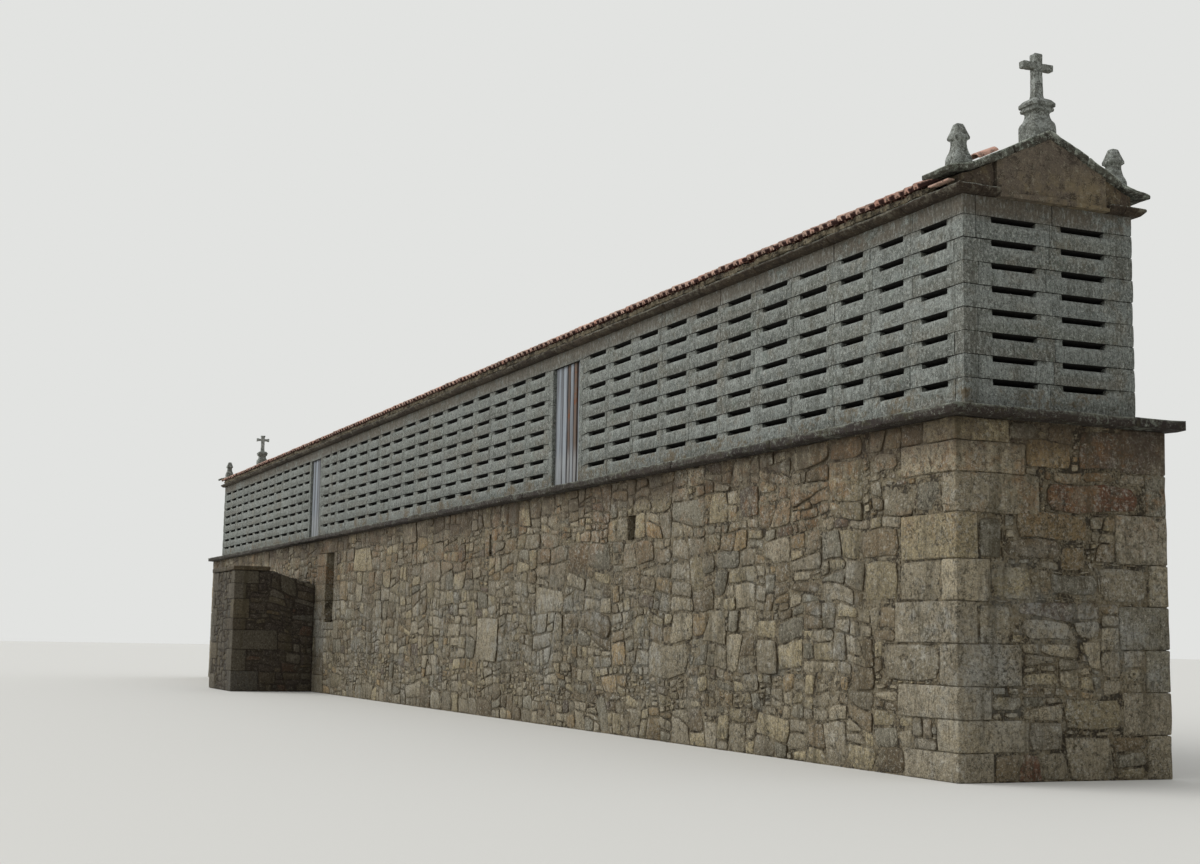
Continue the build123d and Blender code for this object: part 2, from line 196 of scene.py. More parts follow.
def addNode(tree, kind, settings=None, **inputs):
    # A node with its properties and its inputs; i0, i1 and i2 stand for inputs by number.
    node = tree.nodes.new("ShaderNode" + kind)
    for key, value in (settings or {}).items():
        setattr(node, key, value)
    for key, value in inputs.items():
        numbered = key[0] == "i" and key[1:].isdigit()
        feed(tree, node.inputs[int(key[1:]) if numbered else key.replace("_", " ")], value)
    return node


def calc(tree, operation, first, second, third=0.0):
    return addNode(tree, "Math", {"operation": operation}, i0=first, i1=second, i2=third).outputs[0]


def times(tree, first, second):
    return calc(tree, "MULTIPLY", first, second)


def scaled(tree, vector, factors):
    return addNode(tree, "VectorMath", {"operation": "MULTIPLY"}, i0=vector, i1=factors).outputs[0]


def upPart(tree, vector):
    return addNode(tree, "SeparateXYZ", Vector=vector).outputs[2]


def noise(tree, place, scale, detail=4.0, roughness=0.5):
    return addNode(tree, "TexNoise", Vector=place, Scale=scale, Detail=detail, Roughness=roughness).outputs["Fac"]


def ranged(tree, value, start, end, first=0.0, last=1.0, smooth=False):
    # The value's way from start to end, carried over to the span from first to last.
    return addNode(tree, "MapRange", {"interpolation_type": "SMOOTHSTEP" if smooth else "LINEAR"}, Value=value,
                   From_Min=start, From_Max=end, To_Min=first, To_Max=last).outputs[0]


def blend(tree, factor, first, second, mode="MIX"):
    return addNode(tree, "Mix", {"data_type": "RGBA", "blend_type": mode, "clamp_factor": True},
                   i0=factor, i6=first, i7=second).outputs[2]


def cover(tree, colour, mask, strength, shadeOf):
    # One more colour laid over, where the mask lets it.
    return blend(tree, times(tree, mask, strength), colour, paint(shadeOf))


def shade(tree, colour, value):
    # A colour multiplied by one value.
    grey = addNode(tree, "CombineColor", i0=value, i1=value, i2=value).outputs[0]
    return blend(tree, 1.0, colour, grey, "MULTIPLY")


def newGroup(name, inputs, outputs):
    # An empty group with its float sockets, and a Vector first.
    group = bpy.data.node_groups.new(name, "ShaderNodeTree")
    group.interface.new_socket("Vector", in_out="INPUT", socket_type="NodeSocketVector")
    for label, value in inputs.items():
        group.interface.new_socket(label, in_out="INPUT", socket_type="NodeSocketFloat").default_value = value
    for label in outputs:
        group.interface.new_socket(label, in_out="OUTPUT", socket_type="NodeSocketFloat")
    return group, group.nodes.new("NodeGroupInput").outputs, group.nodes.new("NodeGroupOutput").inputs


def cutAt(tree, value, share, top, edge):
    # A mask of the value above a level that comes down from top as share goes up.
    level = calc(tree, "MULTIPLY_ADD", share, -0.36, top)
    return ranged(tree, value, level, calc(tree, "ADD", level, edge), smooth=True)


def makeBlotches():
    # A broad and a fine noise added, then cut at the level that Cover asks for.
    group, given, result = newGroup("blotches", {"Scale": 3.0, "Cover": 0.4, "Edge": 0.08}, ["Mask"])
    broad = noise(group, given["Vector"], given["Scale"], 5.0, 0.65)
    fine = noise(group, given["Vector"], times(group, given["Scale"], 6.3), 3.0, 0.7)
    total = calc(group, "MULTIPLY_ADD", broad, 0.6, times(group, fine, 0.4))
    feed(group, result["Mask"], cutAt(group, total, given["Cover"], 0.68, given["Edge"]))
    return group


def makeGrain():
    # Granite grain: crystal cells and a fine noise, as a speckle value round 0.5 and a height.
    group, given, result = newGroup("graniteGrain", {"Scale": 90.0}, ["Speckle", "Height"])
    crystals = addNode(group, "TexVoronoi", Vector=given["Vector"], Scale=given["Scale"])
    dust = noise(group, given["Vector"], times(group, given["Scale"], 0.45), 4.0, 0.75)
    tone = addNode(group, "SeparateColor", Color=crystals.outputs["Color"]).outputs[0]
    speckle = addNode(group, "Mix", {"data_type": "FLOAT"}, Factor=0.55, A=tone, B=dust).outputs[0]
    feed(group, result["Speckle"], speckle)
    feed(group, result["Height"], calc(group, "MULTIPLY_ADD", crystals.outputs["Distance"], -0.5, dust))
    return group


def makeStreaks():
    # Rain streaks: noise drawn out along Z by Squeeze, cut at the level that Cover asks for.
    group, given, result = newGroup("rainStreaks", {"Scale": 6.0, "Cover": 0.4, "Squeeze": 0.1}, ["Mask"])
    squeeze = addNode(group, "CombineXYZ", X=1.0, Y=1.0, Z=given["Squeeze"]).outputs[0]
    streaks = noise(group, scaled(group, given["Vector"], squeeze), given["Scale"], 5.0, 0.6)
    feed(group, result["Mask"], cutAt(group, streaks, given["Cover"], 0.66, 0.16))
    return group


blotches, graniteGrain, rainStreaks = makeBlotches(), makeGrain(), makeStreaks()


def useGroup(tree, group, place, **inputs):
    return addNode(tree, "Group", {"node_tree": group}, Vector=place, **inputs).outputs


def patches(tree, place, scale, share, edge=0.1):
    return useGroup(tree, blotches, place, Scale=scale, Cover=share, Edge=edge)[0]


def startMaterial(name, colours, specular):
    # A material whose first colour is picked from a list by the first mark.
    material = bpy.data.materials.new(name)
    material.use_nodes = True
    tree = material.node_tree
    shader = tree.nodes["Principled BSDF"].inputs
    shader["Specular IOR Level"].default_value = specular
    place = addNode(tree, "TexCoord").outputs["Object"]
    marks = addNode(tree, "Attribute", {"attribute_name": "marks"}).outputs["Color"]
    marks = addNode(tree, "SeparateColor", Color=marks).outputs
    ramp = addNode(tree, "ValToRGB", Fac=marks[0])
    stops = ramp.color_ramp.elements
    while len(stops) < len(colours):
        stops.new(1.0)
    for k, colour in enumerate(colours):
        stops[k].position = k / (len(colours) - 1)
        stops[k].color = paint(colour)
    return material, tree, shader, place, marks, ramp.outputs[0]


def limitMask(tree, mask, place, kind, value):
    # A cover kept to a band of heights, to surfaces that look up, or to broad patches.
    if kind == "band":
        low, high = value
        height, fade = upPart(tree, place), (high - low) / 3
        within = times(tree, ranged(tree, height, low, low + fade), ranged(tree, height, high, high - fade))
    elif kind == "top":
        within = ranged(tree, upPart(tree, addNode(tree, "NewGeometry").outputs["Normal"]), *value)
    else:
        within = patches(tree, place, *value)
    return times(tree, mask, within)


stoneFinish = {
    "specular": 0.25, "fleck": (0.2, 0.8), "ragged": (1.2, -0.6), "jointFade": (0.22, 0.6), "bump": 0.01,
    "roughness": (0.82, 0.98),
}


def stoneMaterial(name, look):
    # Stone colour, drift and grain, then smears, lichen, stains, moss and bands of painted shade one by one,
    # streaks, and dark joints, which also lay painted shade on the tiles.
    f = stoneFinish
    material, tree, shader, place, marks, colour = startMaterial(name, look["stones"], f["specular"])
    shadeOf, scale, strength = look["wander"]
    colour = cover(tree, colour, noise(tree, place, scale), strength, shadeOf)
    grainScale, contrast, relief = look["grain"]
    grain = useGroup(tree, graniteGrain, place, Scale=grainScale)
    tone = ranged(tree, marks[1], 0.0, 1.0, 1 - look["toneSpread"], 1 + look["toneSpread"])
    fleck = ranged(tree, grain["Speckle"], *f["fleck"], 1 - contrast, 1 + contrast)
    colour = shade(tree, colour, times(tree, tone, fleck))
    ragged = calc(tree, "MULTIPLY_ADD", noise(tree, place, look["raggedScale"], 4.0, 0.7), *f["ragged"])
    joint = ranged(tree, calc(tree, "ADD", ragged, marks[2]), *f["jointFade"], smooth=True)
    if "smear" in look:  # old lime and soil over stones and joints alike
        scale, share, strength, shadeOf = look["smear"]
        smear = times(tree, patches(tree, place, scale, share), strength)
        colour = blend(tree, smear, colour, paint(shadeOf))
        joint = times(tree, joint, calc(tree, "SUBTRACT", 1.0, smear))
    for scale, share, edge, strength, shadeOf, *limits in look["covers"]:
        mask = patches(tree, place, scale, share, edge)
        for kind, value in limits:
            mask = limitMask(tree, mask, place, kind, value)
        colour = cover(tree, colour, mask, strength, shadeOf)
    for scale, share, squeeze, strength, shadeOf in look["streaks"]:
        mask = useGroup(tree, rainStreaks, place, Scale=scale, Cover=share, Squeeze=squeeze)[0]
        colour = cover(tree, colour, mask, strength, shadeOf)
    feed(tree, shader["Base Color"], blend(tree, joint, colour, paint(look["joint"])))

    dentScale, dentRelief = look["dents"]
    dents = noise(tree, place, dentScale, 6.0, 0.62)
    height = calc(tree, "MULTIPLY_ADD", dents, dentRelief, times(tree, grain["Height"], relief))
    bump = addNode(tree, "Bump", Strength=1.0, Distance=f["bump"], Height=height)
    feed(tree, shader["Normal"], bump.outputs[0])
    feed(tree, shader["Roughness"], ranged(tree, grain["Speckle"], 0.0, 1.0, *f["roughness"]))
    return material


# Stone colours are screen values. wander: colour, scale, strength. grain: scale, contrast, height.
# dents: scale, height. covers: scale, share, edge, strength, colour and limits.
# streaks: scale, share, squeeze, strength, colour.
upward = ("top", (0.1, 0.6))
chamberLook = {
    "stones": ((119, 124, 120), (109, 113, 108), (130, 134, 129), (103, 106, 99), (115, 113, 104)),
    "wander": ((90, 92, 85), 1.1, 0.65), "toneSpread": 0.15, "grain": (100.0, 0.46, 0.35), "dents": (26.0, 1.3),
    "covers": (
        (3.0, 0.40, 0.10, 0.6, (137, 143, 138)),
        (7.0, 0.42, 0.07, 0.6, (76, 77, 68)),
        (1.3, 0.48, 0.12, 0.45, (104, 94, 76)),
        (2.1, 0.36, 0.10, 0.4, (90, 104, 92)),
        (20.0, 0.45, 0.06, 0.65, (58, 57, 50)),
        (14.0, 0.36, 0.05, 0.6, (160, 164, 157)),
        (34.0, 0.40, 0.05, 0.7, (172, 174, 166)),
        (42.0, 0.40, 0.05, 0.6, (62, 62, 55)),
        (2.4, 0.55, 0.12, 0.65, (96, 78, 48), ("band", (3.40, 3.85))),
        # The warm dark band under the cornice is partly stain and partly painted shade under the cornice's
        # overhang.
        (1.4, 0.85, 0.12, 0.7, (89, 79, 66), ("band", (5.34, 5.75)))),
    "streaks": ((9.0, 0.38, 0.1, 0.4, (70, 70, 62)),
                (40.0, 0.42, 0.4, 0.5, (58, 57, 51)),
                (33.0, 0.34, 0.35, 0.45, (158, 162, 155))),
    "joint": (24, 22, 19), "raggedScale": 30.0,
}
rubbleLook = {
    "stones": ((144, 134, 112), (146, 134, 105), (135, 114, 80), (108, 93, 70), (117, 113, 99), (137, 128, 109),
               (84, 71, 64), (92, 50, 31)),
    "wander": ((102, 94, 76), 1.7, 0.55), "toneSpread": 0.29, "grain": (85.0, 0.37, 0.5), "dents": (15.0, 2.4),
    "covers": (
        (1.0, 0.52, 0.12, 0.65, (147, 147, 140), ("band", (0.1, 2.5))),
        (1.3, 0.38, 0.10, 0.65, (68, 63, 46)),
        (1.4, 0.54, 0.10, 0.55, (122, 88, 52), ("band", (2.1, 3.8))),
        (5.0, 0.42, 0.08, 0.55, (80, 71, 52)),
        (10.0, 0.38, 0.06, 0.5, (160, 155, 140)),
        (18.0, 0.45, 0.06, 0.75, (50, 44, 32)),
        (15.0, 0.46, 0.06, 0.6, (176, 173, 161), ("patch", (1.1, 0.5))),
        (40.0, 0.42, 0.05, 0.75, (54, 47, 35)),
        (36.0, 0.38, 0.05, 0.66, (178, 172, 155)),
        (26.0, 0.46, 0.05, 0.85, (40, 36, 27), ("patch", (0.9, 0.55))),
        # The dark band under the ledge is partly damp staining and partly painted shade under the ledge.
        (1.2, 0.75, 0.12, 0.6, (66, 54, 42), ("band", (2.95, 3.6)))),
    "streaks": ((3.5, 0.36, 0.1, 0.55, (64, 57, 40)),
                (30.0, 0.38, 0.1, 0.45, (68, 60, 46))),
    "smear": (1.9, 0.47, 0.5, (128, 118, 97)),
    "joint": (72, 62, 46), "raggedScale": 22.0,
}
# Darker stones of the landing: partly damp stone and partly painted shade for the deep shade on its faces.
dampShadedLook = {
    **rubbleLook,
    "stones": ((88, 82, 70), (92, 83, 65), (84, 71, 51), (70, 61, 48), (76, 73, 67), (88, 82, 72), (55, 47, 43),
               (72, 50, 39)),
    "wander": ((64, 57, 45), 1.7, 0.6), "toneSpread": 0.22, "grain": (85.0, 0.34, 0.5),
    "covers": (
        (5.0, 0.42, 0.08, 0.5, (56, 50, 38)),
        (10.0, 0.36, 0.06, 0.45, (124, 118, 104)),
        (18.0, 0.45, 0.06, 0.7, (40, 34, 27)),
        (34.0, 0.38, 0.05, 0.5, (128, 122, 106))),
    "smear": (1.9, 0.50, 0.5, (74, 67, 55)), "joint": (46, 39, 29),
}
mortarLook = {
    "stones": ((119, 109, 88), (105, 95, 75)),
    "wander": ((86, 75, 57), 5.0, 0.7), "toneSpread": 0.2, "grain": (45.0, 0.4, 1.0), "dents": (28.0, 3.0),
    "covers": (
        (12.0, 0.45, 0.08, 0.6, (136, 128, 108)),
        (30.0, 0.45, 0.05, 0.6, (150, 144, 126)),
        # Dark patches in the earth are partly dark joints and partly painted shade in deep crevices.
        (7.0, 0.54, 0.08, 0.85, (35, 29, 21)),
        (1.0, 0.50, 0.12, 0.5, (122, 120, 110), ("band", (0.1, 2.5))),
        # The dark band under the ledge is partly damp staining and partly painted shade under the ledge.
        (1.2, 0.75, 0.12, 0.6, (58, 47, 36), ("band", (2.95, 3.6)))),
    "streaks": (), "joint": (34, 28, 20), "raggedScale": 22.0,
}
ledgeLook = {
    "stones": ((49, 42, 37), (55, 47, 41), (45, 38, 37), (60, 53, 45)),
    "wander": ((42, 36, 30), 1.6, 0.65), "toneSpread": 0.14, "grain": (90.0, 0.28, 0.3), "dents": (18.0, 1.4),
    "covers": (
        (6.0, 0.60, 0.06, 0.85, (134, 138, 126), upward),
        (2.2, 0.36, 0.06, 0.75, (104, 107, 96)),
        (3.5, 0.56, 0.08, 0.6, (118, 120, 108), ("band", (3.452, 3.59))),
        (8.0, 0.30, 0.06, 0.5, (100, 99, 88)),
        (24.0, 0.36, 0.05, 0.65, (150, 152, 140)),
        (12.0, 0.42, 0.05, 0.7, (40, 34, 29)),
        (5.0, 0.42, 0.08, 0.5, (58, 56, 32))),
    "streaks": ((7.0, 0.34, 0.1, 0.5, (38, 32, 25)),),
    "joint": (26, 22, 19), "raggedScale": 26.0,
}
corniceLook = {
    **ledgeLook,
    "stones": ((62, 52, 40), (72, 62, 48), (52, 43, 34), (78, 68, 55)),
    "wander": ((48, 39, 30), 1.6, 0.65),
    "covers": (
        (6.0, 0.70, 0.06, 0.9, (140, 142, 130), upward),
        (2.6, 0.50, 0.08, 0.75, (122, 118, 103), ("band", (5.605, 5.81))),
        (24.0, 0.30, 0.05, 0.6, (138, 132, 116)),
        (9.0, 0.50, 0.06, 0.75, (38, 30, 23))),
}
copingLook = {
    **ledgeLook,
    "stones": ((74, 74, 64), (86, 86, 76), (68, 64, 56)),
    "wander": ((48, 41, 34), 1.6, 0.65),
    "covers": (
        (7.0, 0.70, 0.08, 0.85, (132, 138, 124), upward),
        (13.0, 0.60, 0.05, 1.0, (178, 182, 168), upward),
        (9.0, 0.46, 0.06, 0.7, (118, 124, 112)),
        (22.0, 0.40, 0.05, 0.75, (158, 162, 150)),
        (14.0, 0.45, 0.05, 0.8, (40, 38, 31))),
}
ochreLook = {
    # The second, darker colour serves the side stones: partly their own colour, partly painted shade.
    "stones": ((106, 96, 82), (70, 58, 46)),
    "wander": ((80, 71, 62), 2.2, 0.9), "toneSpread": 0.08, "grain": (90.0, 0.3, 0.35), "dents": (18.0, 1.2),
    "covers": (
        (1.2, 0.72, 0.16, 0.55, (126, 112, 82), ("band", (5.35, 6.05))),
        (9.0, 0.46, 0.08, 0.5, (72, 65, 54)),
        (20.0, 0.36, 0.05, 0.6, (142, 136, 118)),
        (12.0, 0.42, 0.05, 0.75, (46, 40, 33))),
    "streaks": ((6.0, 0.3, 0.1, 0.4, (58, 51, 40)),),
    "joint": (32, 28, 22), "raggedScale": 30.0,
}
finialLook = {
    # The palest colour, used only by the west cross, is painted light.
    "stones": ((116, 118, 110), (124, 126, 118), (176, 180, 174)),
    "wander": ((84, 86, 80), 6.0, 0.8), "toneSpread": 0.1, "grain": (90.0, 0.3, 0.4), "dents": (24.0, 1.4),
    "covers": (
        (8.0, 0.50, 0.06, 0.75, (156, 160, 154)),
        (22.0, 0.48, 0.06, 0.8, (54, 54, 47)),
        (38.0, 0.40, 0.05, 0.75, (172, 175, 168))),
    "streaks": (), "joint": (40, 38, 34), "raggedScale": 30.0,
}
tileLook = {
    "stones": ((150, 104, 88), (176, 128, 110), (94, 60, 48), (214, 180, 162), (194, 144, 126)),
    "wander": ((132, 104, 90), 7.0, 0.6), "toneSpread": 0.2, "grain": (120.0, 0.2, 0.2), "dents": (40.0, 0.6),
    "covers": (
        (8.0, 0.42, 0.07, 0.55, (158, 146, 128)),
        (12.0, 0.44, 0.06, 0.75, (74, 62, 54)),
        (24.0, 0.30, 0.05, 0.6, (190, 180, 160))),
    # On the tiles the third mark lays this joint colour as painted shade on the cover feet and in the channels.
    "streaks": (), "joint": (54, 31, 25), "raggedScale": 30.0,
}
woodLook = {
    "boards": ((146, 152, 158), (126, 130, 134), (104, 100, 97), (86, 77, 72), (108, 92, 80)), "specular": 0.2,
    "grainScale": 105.0, "stretch": 0.03, "broadScale": 16.8, "lines": (0.35, 0.7, 0.72, 1.2), "bump": 0.006,
    "dark": (52, 46, 42), "darkFrom": (0.5, 0.64), "darkShare": 0.5,
    "rust": (112, 68, 42), "rustFrom": (4.15, 4.5), "rustBoards": (0.5, 0.8), "rustPatches": (3.0, 0.5, 0.12),
    "foot": (150, 152, 152), "footFrom": (4.2, 3.9), "footShare": 0.7, "roughness": 0.85,
}


def woodMaterial(name, look):
    # Weathered boards: colour by the first mark, long grain lines, cracks, rust on the darker boards, and darker
    # board edges by the third mark.
    material, tree, shader, place, marks, colour = startMaterial(name, look["boards"], look["specular"])
    stretched = scaled(tree, place, (1.0, 1.0, look["stretch"]))
    lines = noise(tree, stretched, look["grainScale"], 4.0, 0.7)
    broad = noise(tree, stretched, look["broadScale"], 3.0)
    pale = ranged(tree, lines, *look["lines"])
    colour = shade(tree, colour, pale)
    crack = ranged(tree, broad, *look["darkFrom"], smooth=True)
    colour = cover(tree, colour, crack, look["darkShare"], look["dark"])
    height = upPart(tree, place)
    upper, lower = (ranged(tree, height, *look[key], smooth=True) for key in ("rustFrom", "footFrom"))
    rusty = times(tree, upper, ranged(tree, marks[0], *look["rustBoards"]))
    colour = cover(tree, colour, rusty, patches(tree, place, *look["rustPatches"]), look["rust"])
    foot = shade(tree, paint(look["foot"]), pale)
    colour = blend(tree, times(tree, lower, look["footShare"]), colour, foot)
    feed(tree, shader["Base Color"], blend(tree, marks[2], colour, paint(look["dark"])))
    bump = addNode(tree, "Bump", Strength=0.8, Distance=look["bump"], Height=lines)
    feed(tree, shader["Normal"], bump.outputs[0])
    shader["Roughness"].default_value = look["roughness"]
    return material


ashlarStone = stoneMaterial("slottedAshlar", chamberLook)
rubbleStone = stoneMaterial("rubbleStone", rubbleLook)
dampShadedStone = stoneMaterial("dampShadedRubble", dampShadedLook)
earthJoint = stoneMaterial("earthJoint", mortarLook)
ledgeStone = stoneMaterial("ledgeGranite", ledgeLook)
corniceStone = stoneMaterial("corniceGranite", corniceLook)
copingStone = stoneMaterial("copingGranite", copingLook)
ochreStone = stoneMaterial("ochreGranite", ochreLook)
finialStone = stoneMaterial("finialGranite", finialLook)
clayTile = stoneMaterial("clayTile", tileLook)
greyWood = woodMaterial("greyWood", woodLook)
print("materials made")


# Chamber walls: one ring of coursed stones round the building, seen as stations along its outline

chamber = {
    "slotHeight": 0.062, "slotLength": 0.59, "slotPitch": 0.85, "backPitch": 1.08, "endSlot": 0.54,
    "endMargin": 0.345, "cornerStone": 0.135, "middleMargin": 0.115, "eastDoorMargin": 0.07,
    "westShort": (2, 0.67, 0.45), "middleShort": (2, 0.65, 0.40), "eastShort": (3, 0.76, 0.45),  # count to length
    "firstCourse": 0.28, "courseHeight": 0.2287, "courses": 8, "courseLift": 0.036,
    "thickness": 0.16, "cornerReach": 0.26, "cornerLine": 0.012, "cornerJoints": (-0.15, 0.17),
    "jointHalf": 0.006, "jointDepth": 0.014, "sillHeight": 0.024, "sillDepth": 0.022, "headLift": 0.018,
    "extraJoints": 0.3, "topJoints": 0.6, "jointShift": 0.055, "cornerShift": 0.02,
    "stoneDepth": 0.006, "wave": 0.002, "edgeDepth": 0.003, "headDepth": 0.004, "bedWander": 0.004,
    "lipClose": 0.010, "sillClose": 0.006, "seed": 11,
    "shadows": (0.75, 0.85, 0.55, 1.0),  # closeness mark over a slot, in a bed, in a joint and in the top joints
}
wallLow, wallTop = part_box("front_wall_west")[0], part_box("front_wall_west")[1].z
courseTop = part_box("front_top_course")[1].z + chamber["courseLift"]
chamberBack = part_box("back_wall_east")[1].y
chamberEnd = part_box("front_wall_east")[1].x
chamberMiddle = (wallLow.y + chamberBack) / 2
frontParts = [[corner.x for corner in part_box("front_wall_" + part)] for part in ("west", "middle", "east")]
doorSpans = np.array([(frontParts[k][1], frontParts[k + 1][0]) for k in (0, 1)]) + chamberEnd


def spread(first, last, pitch, length):
    # Slots of one length, spread evenly between two places.
    count = max(1, round((last - first) / pitch))
    middles = first + (last - first) / count * (np.arange(count) + 0.5)
    return [(m - length / 2, m + length / 2) for m in middles]


def makeRing(x0, x1, y0, y1, thickness, reach):
    # Outline of a rectangle, read by station from the front west corner, with its inner outline.
    length, width, t, e = x1 - x0, y1 - y0, thickness, reach
    turns = np.array([0, length, length + width, 2 * length + width, 2 * (length + width)])
    outer = [(x0, y0), (x1, y0), (x1, y1), (x0, y1), (x0, y0)]
    inner = [(0, x0 + t, y0 + t), (e, x0 + e, y0 + t), (length - e, x1 - e, y0 + t), (length, x1 - t, y0 + t),
             (length + e, x1 - t, y0 + e), (turns[2] - e, x1 - t, y1 - e), (turns[2], x1 - t, y1 - t),
             (turns[2] + e, x1 - e, y1 - t), (turns[3] - e, x0 + e, y1 - t), (turns[3], x0 + t, y1 - t),
             (turns[3] + e, x0 + t, y1 - e), (turns[4] - e, x0 + t, y0 + e), (turns[4], x0 + t, y0 + t)]
    return {"turns": turns, "outer": np.array(outer), "inner": np.array(inner), "thickness": t}


def onRing(ring, station, depth, height):
    # Outer point plus the step to the inner outline, scaled by depth over thickness.
    s, spot = np.mod(station, ring["turns"][-1]), []
    for k in (0, 1):
        outer = np.interp(s, ring["turns"], ring["outer"][:, k])
        inner = np.interp(s, ring["inner"][:, 0], ring["inner"][:, k + 1])
        spot.append(outer + (inner - outer) * depth / ring["thickness"])
    return bundle(*spot, height)


def chamberStations():
    # Slots along the ring, joints in the piers between them, and joints near the corners.
    c, corner, usual = chamber, chamber["cornerStone"], (chamber["slotPitch"], chamber["slotLength"])
    (w0, w1), (m0, m1), (e0, e1) = frontParts
    west, middle, east = (c[key][0] * c[key][1] for key in ("westShort", "middleShort", "eastShort"))
    m0, e0, m1, e1 = m0 + c["middleMargin"], e0 + c["eastDoorMargin"], m1 - corner, e1 - corner
    front = [spread(w0 + corner, w1 - west, *usual) + spread(w1 - west, w1, *c["westShort"][1:]),
             spread(m0, m0 + middle, *c["middleShort"][1:]) + spread(m0 + middle, m1, *usual),
             spread(e0, e1 - east, *usual) + spread(e1 - east, e1, *c["eastShort"][1:])]
    half = spread(0, chamberEnd - corner, c["backPitch"], c["slotLength"])
    turns, width, margin = ring["turns"], chamberBack - wallLow.y, c["endMargin"]
    ends = [(margin, margin + c["endSlot"]), (width - margin - c["endSlot"], width - margin)]
    back = sorted(half + [(-b, -a) for a, b in half])
    starts = (chamberEnd, chamberEnd, chamberEnd, turns[1], turns[2] + chamberEnd, turns[3])
    groups = [np.array(part) + start for part, start in zip((*front, ends, back, ends), starts)]
    piers = np.concatenate([(part[:-1, 1] + part[1:, 0]) / 2 for part in groups])
    return np.concatenate(groups), piers, np.add.outer(turns[1:], c["cornerJoints"]).ravel()


def inside(places, spans):
    # Which places lie in one of the spans.
    return ((places[:, None] >= spans[:, 0] - 1e-6) & (places[:, None] <= spans[:, 1] + 1e-6)).any(1)


